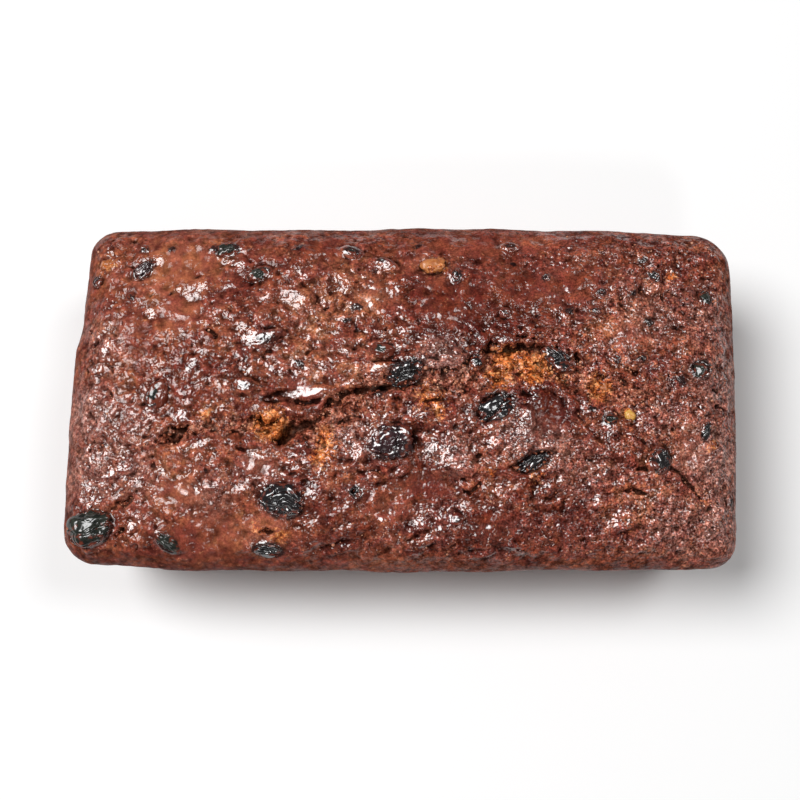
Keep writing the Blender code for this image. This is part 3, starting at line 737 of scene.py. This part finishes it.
class Relief:
    """How far each point of the loaf is moved, and what its surface is like there."""

    def __init__(self, loaf, fruits):
        self.loaf = loaf
        self.noise = Noise(SEEDS["relief"])
        self.points = loaf.points
        count = len(self.points)
        self.height, self.shift = np.zeros(count), np.zeros((count, 2))
        self.crumb, self.glaze, self.smooth, self.opened = np.zeros((4, count))
        self.on_crown = loaf.on_top * smooth_step((loaf.inside - 1.0) / CROWN_START)
        self.x = self.points[:, 0] + OUTLINE_SHAKE * self.wavy("outline x")
        self.y = self.points[:, 1] + OUTLINE_SHAKE * self.wavy("outline y")
        self.add_tones()
        swells = BROAD_SWELL * self.wavy("broad swells") + SMALL_SWELL * self.wavy("small swells")
        self.height += swells * (0.30 + 0.70 * self.on_crown)
        self.add_hidden_lumps()
        self.add_long_crack()
        self.add_spots()
        self.add_crevices()
        for fruit in fruits:
            self.bed(fruit)
        self.add_glazed_places()
        self.add_grain()
        self.add_wall_pores()
        self.keep_base_flat()

    def wavy(self, name, found=slice(None)):
        """One of the noises, at the loaf's points."""
        start, *settings = NOISES[name]
        return self.noise.layered(self.points[found] + start, *settings)

    def near(self, x, y, reach):
        """Which points of the top lie within a square round a place."""
        close_x = np.abs(self.points[:, 0] - x) < reach
        return np.flatnonzero(close_x & (np.abs(self.points[:, 1] - y) < reach) & self.loaf.on_top)

    def add_tones(self):
        total = np.zeros(len(self.x))
        weight = np.full(len(self.x), PLAIN_TONE_WEIGHT)
        for x, y, reach, tone in TONES:
            share = np.exp(-((self.x - x) ** 2 + (self.y - y) ** 2) / (0.6 * reach) ** 2)
            total += share * tone
            weight += share
        self.tone = total / weight * self.loaf.on_top
        for x, y, half_length, half_width in SMOOTH:
            share = 1.2 - np.hypot((self.x - x) / half_length, (self.y - y) / half_width)
            self.smooth = np.maximum(self.smooth, smooth_step(share / 0.5))
        self.smooth *= self.loaf.on_top

    def add_hidden_lumps(self):
        chosen = np.random.default_rng(SEEDS["hidden lumps"])
        for _ in range(HIDDEN_LUMPS):
            x = chosen.uniform(-LUMPS_TO_X, LUMPS_TO_X)
            y = chosen.uniform(-LUMPS_TO_Y, LUMPS_TO_Y)
            length = chosen.uniform(*LUMP_SIZES)
            width = length * chosen.uniform(0.6, 0.95)
            turn = chosen.uniform(0, 180)
            rise = chosen.uniform(*LUMP_HEIGHTS) * length / LUMP_SIZES[1]
            found = self.near(x, y, length)
            away = oval(self.x[found], self.y[found], x, y, length, width, turn)
            self.height[found] += rise * hump(away, 1.0) * self.on_crown[found]

    def add_long_crack(self):
        """A ragged tear: it slopes in gently from the front and ends at a steep lip at the back."""
        away, side, half_width, depth = along_path(self.x, self.y, LONG_CRACK)
        ragged = self.wavy("crack's edge")
        across = side * away / half_width + 0.28 * self.wavy("crack's bends") + 0.24 * ragged
        floor = smooth_step((across - CRACK_FRONT) / FRONT_SLOPE)
        floor *= 1 - smooth_step((across - CRACK_BACK) / BACK_SLOPE)
        uneven_depth = depth * np.clip(0.75 + 0.5 * self.wavy("crack's depth"), 0.25, 1.3)
        lip = np.exp(-(((across - LIP_PLACE) / LIP_WIDTH) ** 2)) * smooth_step(depth / 4)
        lip *= np.clip(0.6 + 0.9 * self.wavy("lip"), 0.0, 1.2)
        self.height += (LIP_HEIGHT * lip - uneven_depth * floor) * self.on_crown
        self.crumb = smooth_step(1.9 * floor - 0.55 + 0.55 * ragged) * self.on_crown
        clods = CLOD_HEIGHT * (0.5 - np.abs(self.wavy("clods")))
        crumbs = CRUMB_HEIGHT * (0.5 - np.abs(self.wavy("crumbs")))
        self.height += self.crumb * (0.5 * ragged + clods + crumbs - 0.4)
        self.shift[:, 1] -= LIP_OVERHANG * lip * self.on_crown * smooth_step(depth / 5)
        self.glaze = np.maximum(self.glaze, 0.7 * lip * self.on_crown)

    def spots(self, table, spread, squash=1.0):
        """How strongly the points lie in a table's places, which reach this many times as far."""
        share = np.zeros(len(self.x))
        for x, y, reach, strength in table:
            away = np.hypot(self.x - x, (self.y - y) * squash)
            share = np.maximum(share, strength * hump(away, spread * reach))
        return share

    def add_spots(self):
        """Where orange crumb or peel shows, and where dark fruit lies just under the crust."""
        self.orange = self.spots(ORANGE, ORANGE_SPREAD) * self.loaf.on_top
        # Where a paler, pinker sheen is painted.
        self.pale = self.spots(PAINTED_SHEEN, CALM_SPREAD) * self.loaf.on_top
        self.dry = self.spots(DRY, CALM_SPREAD)
        dark_bits = [(*bit, 1.0) for bit in DARK_BITS]
        self.dark = self.spots(dark_bits, DARK_SPREAD, DARK_SQUASH) * self.loaf.on_top
        self.height += DARK_BIT_HEIGHT * self.dark

    def add_crevices(self):
        for path in CREVICES:
            middle = path[len(path) // 2]
            found = self.near(middle[0], middle[1], CREVICE_REACH)
            x = 0.5 * (self.x[found] + self.points[found, 0])
            y = 0.5 * (self.y[found] + self.points[found, 1])
            away, _, half_width, depth = along_path(x, y, path)
            half_width *= 1 + 0.6 * self.wavy("crevice's width", found)
            depth *= 0.85 + 0.6 * self.wavy("crevice's depth", found)
            drop = depth * hump(away, half_width * 1.25)
            self.height[found] -= drop
            keep_most(self.crumb, found, smooth_step(drop - 0.6))
            edge = np.exp(-(((away / half_width - 1.7) / 0.5) ** 2))
            self.height[found] += CREVICE_EDGE * edge * smooth_step(depth / 3)

    def bed(self, fruit):
        """Opens the crust over a piece of fruit, and lets it creep up over the fruit's sides.

        Here distances are in the fruit's own half sizes, so that its outline is at 1."""
        near_fruit = np.abs(self.points - fruit.middle).max(axis=1) < 1.7 * fruit.half.max()
        found = np.flatnonzero(near_fruit & ~self.loaf.on_base)
        points = self.points[found]
        local = fruit.local(points)
        plan = local[:, :2] / fruit.half[:2]
        away = np.hypot(plan[:, 0], plan[:, 1])
        ragged = 0.32 * self.noise(points + 7.0 * fruit.half[0], 3.4) + 0.16 * self.noise(points, 1.6)
        edge = np.hypot(*(plan - fruit.off_middle).T) - fruit.bare - ragged * fruit.bare
        edge = np.maximum(edge, away - MOST_OPENED - 0.4 * ragged)
        opened = 1 - smooth_step(edge / OPENING_EDGE + 1)
        dome = np.sqrt(np.clip(1 - (away / FRUIT_SHARE_ACROSS) ** 2, 0, 1))
        skin = FRUIT_SHARE_UP * fruit.half[2] * dome - local[:, 2]
        height = self.height[found]
        veil = (1 - smooth_step((away - VEIL_START) / VEIL_SLOPE)) * (1 - opened)
        covering = np.maximum(height, skin + VEIL_THICKNESS + 0.40 * ragged)
        height += veil * (covering - height) * 0.9
        below = np.minimum(height, skin - OPENING_DROP)
        self.height[found] = height + opened * (below - height)
        keep_most(self.opened, found, opened)
        keep_most(self.glaze, found, VEIL_GLAZE * veil)
        if fruit.is_raisin:
            stained = 0.66 * hump(away + 0.8 * ragged, 1.25) + 0.45 * hump(edge, 0.40)
            keep_most(self.dark, found, stained)
        else:
            keep_most(self.orange, found, 0.9 * hump(away + ragged, 1.7))

    def add_glazed_places(self):
        """Raises and levels each glazed place, so that all of it faces the light."""
        key = Vector(LIGHTS["key"][0]).normalized()
        facing = np.array((key + TOWARDS_CAMERA).normalized())
        for x, y, length, width, turn, shine in GLAZED:
            found = self.near(x, y, length)
            points = self.points[found]
            wide_x = 0.6 * self.x[found] + 0.4 * points[:, 0]
            wide_y = 0.6 * self.y[found] + 0.4 * points[:, 1]
            away = oval(wide_x, wide_y, x, y, length, width, turn)
            share = (1 - smooth_step((away - 0.7) / 0.9)) * (1 - self.opened[found])
            inner = (away < 0.6) & (self.opened[found] < 0.5)
            if not inner.any():
                continue
            surface = points[:, 2] + self.height[found]
            level = surface[inner].mean() + GLAZE_HEIGHT * shine * min(width, 4) / 3
            plane = level - ((points[:, 0] - x) * facing[0] + (points[:, 1] - y) * facing[1]) / facing[2]
            self.height[found] += 0.85 * share * (plane - surface)
            keep_most(self.glaze, found, shine * share)

    def add_grain(self):
        """The small bumps and pits all over the crust, weaker where it is smooth or dry."""
        ends = smooth_step((np.abs(self.points[:, 0]) - 55) / 40)
        strength = 0.85 + 0.5 * self.wavy("patches of grain")
        strength = strength * (1 - 0.72 * self.smooth) * (1 - 0.25 * self.glaze) * (0.85 + 0.4 * ends)
        strength *= 1 - 0.50 * self.dry
        strength *= 0.20 + 0.80 * self.on_crown
        grain = np.clip(strength, 0, 1.5)
        bumps = COARSE_GRAIN * self.wavy("coarse grain") + FINE_GRAIN * self.wavy("fine grain")
        self.height += grain * bumps
        self.height -= grain * PIT_DEPTH * smooth_step((self.wavy("pits") - 0.50) / 0.25)

    def add_wall_pores(self):
        """Small holes and creases where the batter lay against the tin."""
        on_wall = 1 - smooth_step((self.points[:, 2] - WALL_PORES_TOP) / 16)
        creases = np.exp(-((np.abs(self.wavy("wall creases")) / 0.05) ** 2))
        self.height -= on_wall * PORE_DEPTH * smooth_step((self.wavy("wall pores") - 0.55) / 0.25)
        self.height -= on_wall * CREASE_DEPTH * creases
        self.height += on_wall * WALL_SWELL * self.wavy("wall swells")

    def keep_base_flat(self):
        """The base stays flat, with shallow pores, and nothing reaches below it."""
        foot = 1 - smooth_step((self.points[:, 2] - 0.6) / 4.0)
        self.height *= 1 - foot
        pores = smooth_step((self.wavy("base pores") - 0.5) / 0.25)
        self.height -= self.loaf.on_base * smooth_step((self.loaf.inside - 4) / 3) * 0.5 * pores

    def write(self):
        """Moves the mesh's points and stores what the materials read."""
        moved = self.points + self.loaf.normals * self.height[:, None]
        moved[:, :2] += self.shift
        np.clip(moved[:, 2], 0.0, None, out=moved[:, 2])
        self.moved = moved
        mesh = self.loaf.mesh
        move_points(mesh, moved)
        # How far each point lies sunk or stands out, for the painted shade in hollows.
        tight = self.height - self.loaf.blurred(self.height, TIGHT_BLUR)
        broad = self.height - self.loaf.blurred(self.height, BROAD_BLUR)
        self.hollow = np.clip(BROAD_SHARE * broad + TIGHT_SHARE * tight, -MOST_HOLLOW, MOST_HOLLOW)
        self.wall = 1 - smooth_step((self.loaf.inside - WALL_LOOK_FROM) / WALL_LOOK_RUN)
        self.wall[~self.loaf.on_top] = 1.0
        for name in STORED:
            store(mesh, name, getattr(self, name))
        mesh.update()


def thinned(mesh, most):
    """The mesh with its flat places in fewer triangles, so that it has at most so many."""
    obj = placed("thinning", mesh)
    thin = obj.modifiers.new("thin", "DECIMATE")
    thin.ratio = most / (2 * len(mesh.polygons))
    thin.use_collapse_triangulate = True
    graph = bpy.context.evaluated_depsgraph_get()
    result = bpy.data.meshes.new_from_object(obj.evaluated_get(graph))
    bpy.data.objects.remove(obj)
    result.shade_smooth()
    return result


# ---- materials


class Value:
    """A number in a graph of nodes, to calculate with."""

    def __init__(self, graph, socket):
        self.graph, self.socket = graph, socket

    def __add__(self, other):
        return self.graph.calc("ADD", self, other)

    def __sub__(self, other):
        return self.graph.calc("SUBTRACT", self, other)

    def __rsub__(self, other):
        return self.graph.calc("SUBTRACT", other, self)

    def __mul__(self, other):
        return self.graph.calc("MULTIPLY", self, other)

    def clamped(self):
        """The same number, held between 0 and 1."""
        self.socket.node.use_clamp = True
        return self


class Graph:
    """Short ways to add nodes to one material and join them up."""

    def __init__(self, name):
        self.material = bpy.data.materials.new(name)
        self.material.use_nodes = True
        self.tree = self.material.node_tree
        self.shader = self.tree.nodes["Principled BSDF"]
        self.place = self.tree.nodes.new("ShaderNodeTexCoord").outputs["Object"]

    def fill(self, socket, value):
        if isinstance(value, Value):
            value = value.socket
        if isinstance(value, bpy.types.NodeSocket):
            self.tree.links.new(value, socket)
        elif isinstance(value, tuple) and socket.type == "RGBA":
            socket.default_value = (*value, 1.0)
        else:
            socket.default_value = value

    def node(self, kind, *values, **settings):
        """A node with its inputs filled in order, where a value of None leaves one as it is."""
        made = self.tree.nodes.new(kind)
        for key, setting in settings.items():
            setattr(made, key, setting)
        for socket, value in zip(made.inputs, values):
            if value is not None:
                self.fill(socket, value)
        return made

    def value(self, kind, *values, output=0, **settings):
        """The number that such a node gives."""
        return Value(self, self.node(kind, *values, **settings).outputs[output])

    def set(self, **values):
        """Fills the Principled shader's inputs, named with _ for a space."""
        for key, value in values.items():
            self.fill(self.shader.inputs[key.replace("_", " ")], value)

    def attribute(self, name):
        return self.value("ShaderNodeAttribute", output="Fac", attribute_name=name)

    def noise(self, size, detail=2.0, roughness=0.5, offset=0.0):
        """Noise from 0 to 1 whose lumps are about this many mm across."""
        place = self.place
        if offset:
            place = self.node("ShaderNodeVectorMath", place, (offset,) * 3, operation="ADD").outputs[0]
        return self.value("ShaderNodeTexNoise", place, None, 1 / (size * MM), detail, roughness)

    def cells(self, size):
        """How far each place is from the middle of its cell."""
        return self.value("ShaderNodeTexVoronoi", self.place, None, 1 / (size * MM), output="Distance")

    def calc(self, operation, first, second):
        return self.value("ShaderNodeMath", first, second, operation=operation)

    def most(self, first, *others):
        for other in others:
            first = self.calc("MAXIMUM", first, other)
        return first

    def scaled(self, value, low, high, to_low=0.0, to_high=1.0):
        """The value's range from low to high moved to another range, and held there."""
        return self.value("ShaderNodeMapRange", value, low, high, to_low, to_high)

    def swing(self, noise, most):
        """A noise as a change of up to so much either way."""
        return self.scaled(noise, 0.3, 0.7, -most, most)

    def mix(self, share, first, second, blend="MIX"):
        made = self.node("ShaderNodeMix", share, data_type="RGBA", blend_type=blend)
        # The sockets for colours come after those for numbers and vectors.
        self.fill(made.inputs[6], first)
        self.fill(made.inputs[7], second)
        return made.outputs[2]

    def ramp(self, value, stops):
        """A colour that runs through the stops as the value goes from 0 to 1."""
        made = self.node("ShaderNodeValToRGB", value)
        elements = made.color_ramp.elements
        while len(elements) < len(stops):
            elements.new(1.0)
        for element, (place, *colour) in zip(elements, stops):
            element.position = place
            element.color = (*colour, 1.0)
        return made.outputs[0]

    def bump(self, height, depth, under=None):
        """A bump of this many mm for a height from 0 to 1, over another bump."""
        made = self.node("ShaderNodeBump")
        self.fill(made.inputs["Distance"], depth * MM)
        self.fill(made.inputs["Height"], height)
        if under:
            self.fill(made.inputs["Normal"], under)
        return made.outputs[0]


class Crust(Graph):
    """The crust and crumb: what each point stores, seen through noises of several sizes."""

    def __init__(self):
        super().__init__("baked_crust")
        self.stored = {name: self.attribute(name) for name in STORED}
        self.noises = {name: self.noise(*look) for name, look in CRUST_NOISES.items()}
        self.granule = self.cells(GRANULE_SIZE)
        along = self.node("ShaderNodeSeparateXYZ", self.place).outputs[0]
        self.coarser = self.scaled(along, *COARSENING)
        calm = self.most(self.stored["smooth"], self.stored["dry"])
        self.lively = (1.0 - calm * CALMING).clamped()
        painted_light, wet = self.painted_light(), self.wet()
        colour = self.with_fruit(self.with_crumb(self.baked()))
        # The colour is multiplied by this painted light and shade.
        grey = self.node("ShaderNodeCombineColor", painted_light, painted_light, painted_light).outputs[0]
        self.set(Base_Color=self.mix(1.0, colour, grey, "MULTIPLY"))
        self.add_gloss(painted_light, wet)
        self.add_bumps(wet)
        self.set(Coat_Roughness=0.18, Coat_IOR=1.85, IOR=1.45, Specular_IOR_Level=0.02)

    def baked(self):
        """Baked crust: brown by its tone, in some places more like wine, and duller on the walls."""
        patch, mottle, speck = [self.noises[name] for name in ("patch", "mottle", "speck")]
        tone = self.stored["tone"] * TONE_SPREAD + MIDDLE_TONE + self.swing(patch, PATCH_SWING)
        tone += self.swing(mottle, MOTTLE_SWING) * self.lively
        tone += self.swing(speck, SPECK_SWING) * self.lively
        wall = self.ramp((patch + mottle) * 0.5, RAMPS["wall"])
        colour = self.mix(self.stored["wall"] * WALL_SHARE, self.ramp(tone, RAMPS["crust"]), wall)
        wine = self.mix(1.0, colour, WINE, "MULTIPLY")
        return self.mix(self.scaled(self.noises["wine"], *WINE_PLACES), colour, wine)

    def with_crumb(self, colour):
        """The colour with torn crumb, a paler, pinker painted sheen and orange crumb over it."""
        mottle, speck = self.noises["mottle"], self.noises["speck"]
        coarse = (mottle + speck) * 0.5
        colour = self.mix(self.stored["crumb"], colour, self.ramp(coarse, RAMPS["crumb"]))
        # A paler, pinker colour painted as a sheen of glaze.
        share = self.stored["pale"] * self.scaled(mottle, *PAINTED_SHEEN_BY_MOTTLE)
        colour = self.mix(share, colour, self.ramp(speck, RAMPS["pale"]))
        ragged = self.stored["orange"] + self.swing(speck, 0.40)
        return self.mix(self.scaled(ragged, 0.25, 0.75), colour, self.ramp(coarse, RAMPS["orange"]))

    def with_fruit(self, colour):
        """The colour with the dark stains of fruit under it."""
        ragged = self.stored["dark"] + self.swing(self.noises["speck"], 0.25)
        return self.mix(self.scaled(ragged, *STAIN_BY_DARK), colour, FRUIT_STAIN)

    def painted_light(self):
        """Painted light and shade that the colour is multiplied by: painted shade in hollows and between
        granules, darker pits and painted glints on the grains, and uneven blotches all over.
        """
        hollow, dry, wall = [self.stored[name] for name in ("hollow", "dry", "wall")]
        # Painted shade in hollows; crumb goes less dark, except where it lies deepest.
        least = self.stored["crumb"] * self.scaled(hollow, *CRUMB_PAINTED_SHADE_BY_HOLLOW)
        sunk = self.most(self.scaled(hollow, *PAINTED_SHADE_BY_HOLLOW), least)
        # Painted shade in pits and painted glints on the grains.
        grain = self.scaled(self.noises["grain"], *PAINTED_PITS_AND_GLINTS_BY_GRAIN) * self.scaled(dry, *GRAIN_BY_DRY)
        grain *= self.coarser - wall * 0.5
        blotch = self.scaled(self.noises["blotch"], *SHADE_BY_BLOTCH) * self.lively
        # Painted shade between the granules, less where the crust is calm.
        between = self.scaled(self.granule, *PAINTED_SHADE_BY_GRANULE)
        between = self.most(between, self.scaled(self.lively, 1.0, 0.4))
        return sunk * (grain + 1.0) * (blotch + 1.0) * between

    def wet(self):
        """How much glaze there is: in glazed places, in pools and a little where the paler sheen is painted.
        """
        pools = self.scaled(self.noises["pool"], *WET_BY_POOL) * self.coarser
        pools *= self.scaled(self.stored["dry"], *POOLS_BY_DRY)
        return (self.most(self.stored["glaze"], pools) + self.stored["pale"] * 0.25).clamped()

    def add_gloss(self, painted_light, wet):
        """Glaze shines, but not on open crumb, in deep hollows or far down the walls."""
        wall = self.stored["wall"]
        open_crumb = self.most(self.stored["crumb"] * 0.6, self.stored["orange"] * 0.75)
        shine = (1.0 - open_crumb).clamped() * self.scaled(wet, *SHINE_BY_WET)
        rough = self.scaled(shine - wall * 0.30, *ROUGH_BY_POLISH)
        rough += self.scaled(self.noises["mottle"], *ROUGH_BY_MOTTLE)
        weight = (shine * (1.2 - wall)).clamped() * self.scaled(painted_light, *COAT_BY_SHADE)
        self.set(Roughness=rough.clamped(), Coat_Weight=weight)

    def add_bumps(self, wet):
        """Beads, lumps and crumbs too small for the mesh, weaker where the crust is even."""
        level = wet * (1.0 - self.stored["pale"]) * 0.8
        even = self.most(self.stored["smooth"], self.stored["dry"] * 0.6, level)
        beads = self.noises["bead"] - self.granule * 0.3
        beads *= self.scaled(even, *PITTING_BY_EVEN) * self.coarser
        lumps = self.noises["lump"] * self.scaled(self.stored["glaze"], *LUMPS_BY_GLAZE)
        crumbs = self.stored["crumb"] * self.noises["crumb"]
        normal = self.bump(lumps, LUMP_DEPTH, under=self.bump(beads, BEAD_DEPTH))
        normal = self.bump(crumbs, CRUMB_DEPTH, under=normal)
        self.set(Normal=normal, Coat_Normal=normal)


def crumb_material(name):
    """Loose crumbs: reddish brown, some paler, and orange where the torn place is."""
    g = Graph(name)
    cloud = g.noise(2.4, 2, 0.6)
    brown, orange = g.ramp(cloud, RAMPS["loose crumb"]), g.ramp(cloud, RAMPS["loose orange"])
    g.set(Base_Color=g.mix(g.scaled(g.attribute("orange"), 0.2, 0.6), brown, orange))
    g.set(Roughness=g.scaled(cloud, 0.3, 0.7, 0.30, 0.60), Normal=g.bump(g.noise(0.8, 0.0), 0.2))
    g.set(Coat_Weight=0.4, Coat_Roughness=0.15, IOR=1.45, Specular_IOR_Level=0.1)
    return g.material


def raisin_material(name, deep, light, folds, gloss):
    """A raisin's skin: a darker and a lighter colour that noise mixes, how deep its folds are in mm,
    and how much of it is glazed. Crust clings to its edge."""
    g = Graph(name)
    cloud = g.noise(3.2, 3, 0.6)
    fine = g.noise(1.0, 0.0, offset=0.2)
    skin = g.mix(g.scaled(cloud, 0.35, 0.7), deep, light)
    edge = g.attribute("edge") + g.swing(g.noise(2.0, 2.0, offset=0.4), 0.55)
    g.set(Base_Color=g.mix(g.scaled(edge, 0.80, 1.15), skin, CLINGING_CRUST))
    g.set(Roughness=g.scaled(cloud, 0.3, 0.7, 0.30, 0.50))
    normal = g.bump(g.noise(2.6, 0.0, offset=0.9), folds, under=g.bump(fine, 0.09))
    g.set(Normal=normal, Coat_Normal=normal)
    g.set(Coat_Weight=gloss, Coat_Roughness=0.18, Coat_IOR=2.0, IOR=1.46, Specular_IOR_Level=0.05)
    return g.material


def peel_material(name, deep, light):
    """Candied peel: waxy, lets a little light in, and is darker where syrup has soaked it."""
    g = Graph(name)
    cloud = g.noise(2.2, 3, 0.6)
    fine = g.noise(0.7, 3, 0.6, 0.2)
    g.set(Base_Color=g.mix(g.scaled(cloud, 0.35, 0.7), deep, light))
    g.set(Roughness=g.scaled(fine, 0.3, 0.7, 0.28, 0.5))
    g.set(Normal=g.bump(fine, 0.12, under=g.bump(cloud, 0.25)))
    g.set(Subsurface_Weight=0.15, Subsurface_Scale=1.2 * MM, Coat_Weight=0.35, Coat_Roughness=0.2)
    g.shader.inputs["Subsurface Radius"].default_value = (1.0, 0.5, 0.2)
    return g.material


# ---- the pieces


def show(name, mesh, material, slot, *nodes):
    """Makes a piece that moves with the cake and, if nodes are named, stands for them."""
    obj = placed(name, mesh)
    mesh.materials.append(material)
    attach(obj, "root")
    if nodes:
        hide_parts(*nodes)


def make_loaf(fruits):
    """The crust and crumb, and the loose crumbs on them."""
    loaf = Loaf()
    relief = Relief(loaf, fruits)
    relief.write()
    mesh = thinned(loaf.mesh, MOST_TRIANGLES)
    show("cake_loaf", mesh, Crust().material, "crust", "loaf")
    make_crumbs(relief)


def scattered(name, places, sizes, chosen):
    """One mesh of uneven grains at these places, turned all ways, in mm."""
    bm = bmesh.new()
    bmesh.ops.create_icosphere(bm, subdivisions=2, radius=1.0)
    ball = np.array([vertex.co for vertex in bm.verts])
    corners = np.array([[vertex.index for vertex in face.verts] for face in bm.faces])
    bm.free()
    count = len(places)
    turns, _ = np.linalg.qr(chosen.normal(size=(count, 3, 3)))
    turns *= np.sign(np.linalg.det(turns))[:, None, None]
    stretch = chosen.uniform(*GRAIN_STRETCHES, (count, 1, 3))
    rough = chosen.uniform(*GRAIN_UNEVENNESS, (count, len(ball), 1))
    grains = (ball[None] * stretch * rough) @ turns * sizes[:, None, None] + places[:, None]
    faces = (corners[None] + len(ball) * np.arange(count)[:, None, None]).reshape(-1, 3)
    mesh = bpy.data.meshes.new(name)
    mesh.from_pydata((grains.reshape(-1, 3) * MM).tolist(), [], faces.tolist())
    mesh.shade_smooth()
    return mesh, len(ball)


def make_crumbs(relief):
    """Crumbs in the torn places, and grains baked onto the crust."""
    chosen = np.random.default_rng(SEEDS["grains"])
    torn = relief.crumb + 0.4 * relief.orange
    on_top = (relief.on_crown > 0.5) & (relief.height > DEEPEST_CRUMB)
    plain = (torn < 0.2) & (relief.smooth < 0.3) & (relief.dry < 0.5)
    kinds = [("cake_crumbs", (torn > 0.5) & on_top, *CRUMBS), ("cake_grains", plain & on_top, *GRAINS)]
    for name, allowed, count, least, most, sink in kinds:
        picked = chosen.choice(np.flatnonzero(allowed), count, replace=False)
        sizes = least + (most - least) * chosen.uniform(size=count) ** SMALL_GRAINS
        places = relief.moved[picked] - relief.loaf.normals[picked] * (sink * sizes)[:, None]
        mesh, corners = scattered(name, places, sizes, chosen)
        store(mesh, "orange", np.repeat(relief.orange[picked], corners))
        show(name, mesh, crumb_material(name), "crust")


def round_mesh(fruit, form, subdivisions):
    """A ball whose points, of length 1, the form moves to their places in mm."""
    bm = bmesh.new()
    bmesh.ops.create_icosphere(bm, subdivisions=subdivisions, radius=1.0)
    mesh = bpy.data.meshes.new(fruit.name)
    bm.to_mesh(mesh)
    bm.free()
    ball = read_vectors(mesh.vertices, "co")
    move_points(mesh, form(ball))
    edge = np.hypot(*(ball[:, :2] - fruit.off_middle).T) / fruit.bare
    store(mesh, "edge", np.where(ball[:, 2] > 0, edge, 2.0))
    mesh.shade_smooth()
    return mesh


def valleys(values, depth, width):
    """Valleys of this depth along the lines where noise crosses zero."""
    return depth * np.exp(-((values / width) ** 2))


def wrinkled(fruit, number):
    """The form of one raisin: a few plump folds that run along it, with short ones between."""
    noise = Noise(SEEDS["raisin"] + number)
    share = FOLD_SHARES.get(fruit.colour, 1.0)

    def form(ball):
        lumps = noise(ball, 1.1)
        swelling = noise(ball + 8.2, 0.62)
        long_folds = noise(ball + 3.1, (1.7, 0.95, 0.95))
        short_folds = noise(ball + 5.7, 0.75)
        size = 0.98 + 0.20 * lumps + 0.14 * swelling
        size -= share * (valleys(long_folds, *LONG_FOLDS) + valleys(short_folds, *SHORT_FOLDS))
        return fruit.middle + (ball * size[:, None] * fruit.half) @ fruit.axes

    return form


def diced(fruit, number):
    """The form of one dice of peel: a soft, swollen block."""
    noise = Noise(SEEDS["peel"] + number)

    def form(ball):
        blocky = np.sign(ball) * np.abs(ball) ** 0.88
        blocky /= np.maximum(np.abs(blocky).max(axis=1), TINY)[:, None] ** 0.15
        size = 0.96 + 0.20 * noise(ball, 0.9) + 0.08 * noise(ball + 4.4, 0.4)
        return fruit.middle + (blocky * size[:, None] * fruit.half) @ fruit.axes

    return form


def make_fruit(fruits):
    skins = {colour: raisin_material("raisin_" + colour, *look) for colour, look in RAISIN_SKINS.items()}
    peels = {colour: peel_material("peel_" + colour, *look) for colour, look in PEEL_SKINS.items()}
    for number, fruit in enumerate(fruits):
        if fruit.is_raisin:
            fineness = FINER_BALL if fruit.half[0] > LARGE_RAISIN else FINE_BALL
            mesh = round_mesh(fruit, wrinkled(fruit, number), fineness)
            material, slot = skins[fruit.colour], "raisin_skin"
        else:
            mesh = round_mesh(fruit, diced(fruit, number), FINE_BALL)
            material, slot = peels[fruit.colour], "candied_peel"
        show("fruit_" + fruit.name, mesh, material, slot, fruit.name)


# ---- stage, lights and camera


def make_floor():
    bpy.ops.mesh.primitive_plane_add(size=6)
    floor = bpy.context.object
    floor.name = "floor"
    g = Graph("pale_floor")
    g.set(Base_Color=(0.95, 0.95, 0.95), Roughness=0.9, Specular_IOR_Level=0.1)
    floor.data.materials.append(g.material)


def make_lights():
    for name, (way, distance, width, power) in LIGHTS.items():
        data = bpy.data.lights.new(name, "AREA")
        data.shape = "DISK"
        data.size = width
        data.energy = power
        way = Vector(way)
        aim(placed(name, data), way, CAMERA_TARGET + way.normalized() * distance)
    world = bpy.data.worlds.new("studio")
    world.use_nodes = True
    background = world.node_tree.nodes["Background"].inputs
    background["Color"].default_value = (1, 1, 1, 1)
    background["Strength"].default_value = WORLD_LIGHT
    bpy.context.scene.world = world


def make_camera():
    data = bpy.data.cameras.new("camera")
    data.lens = CAMERA_LENS
    data.clip_start = 0.01
    camera = placed("camera", data)
    aim(camera, TOWARDS_CAMERA, CAMERA_TARGET + TOWARDS_CAMERA * CAMERA_DISTANCE)
    bpy.context.scene.camera = camera


fruits = [Fruit(name) for name in sorted(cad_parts) if name != "loaf"]
make_camera()
make_lights()
make_floor()
make_loaf(fruits)
make_fruit(fruits)
bpy.context.scene.view_settings.view_transform = "Standard"
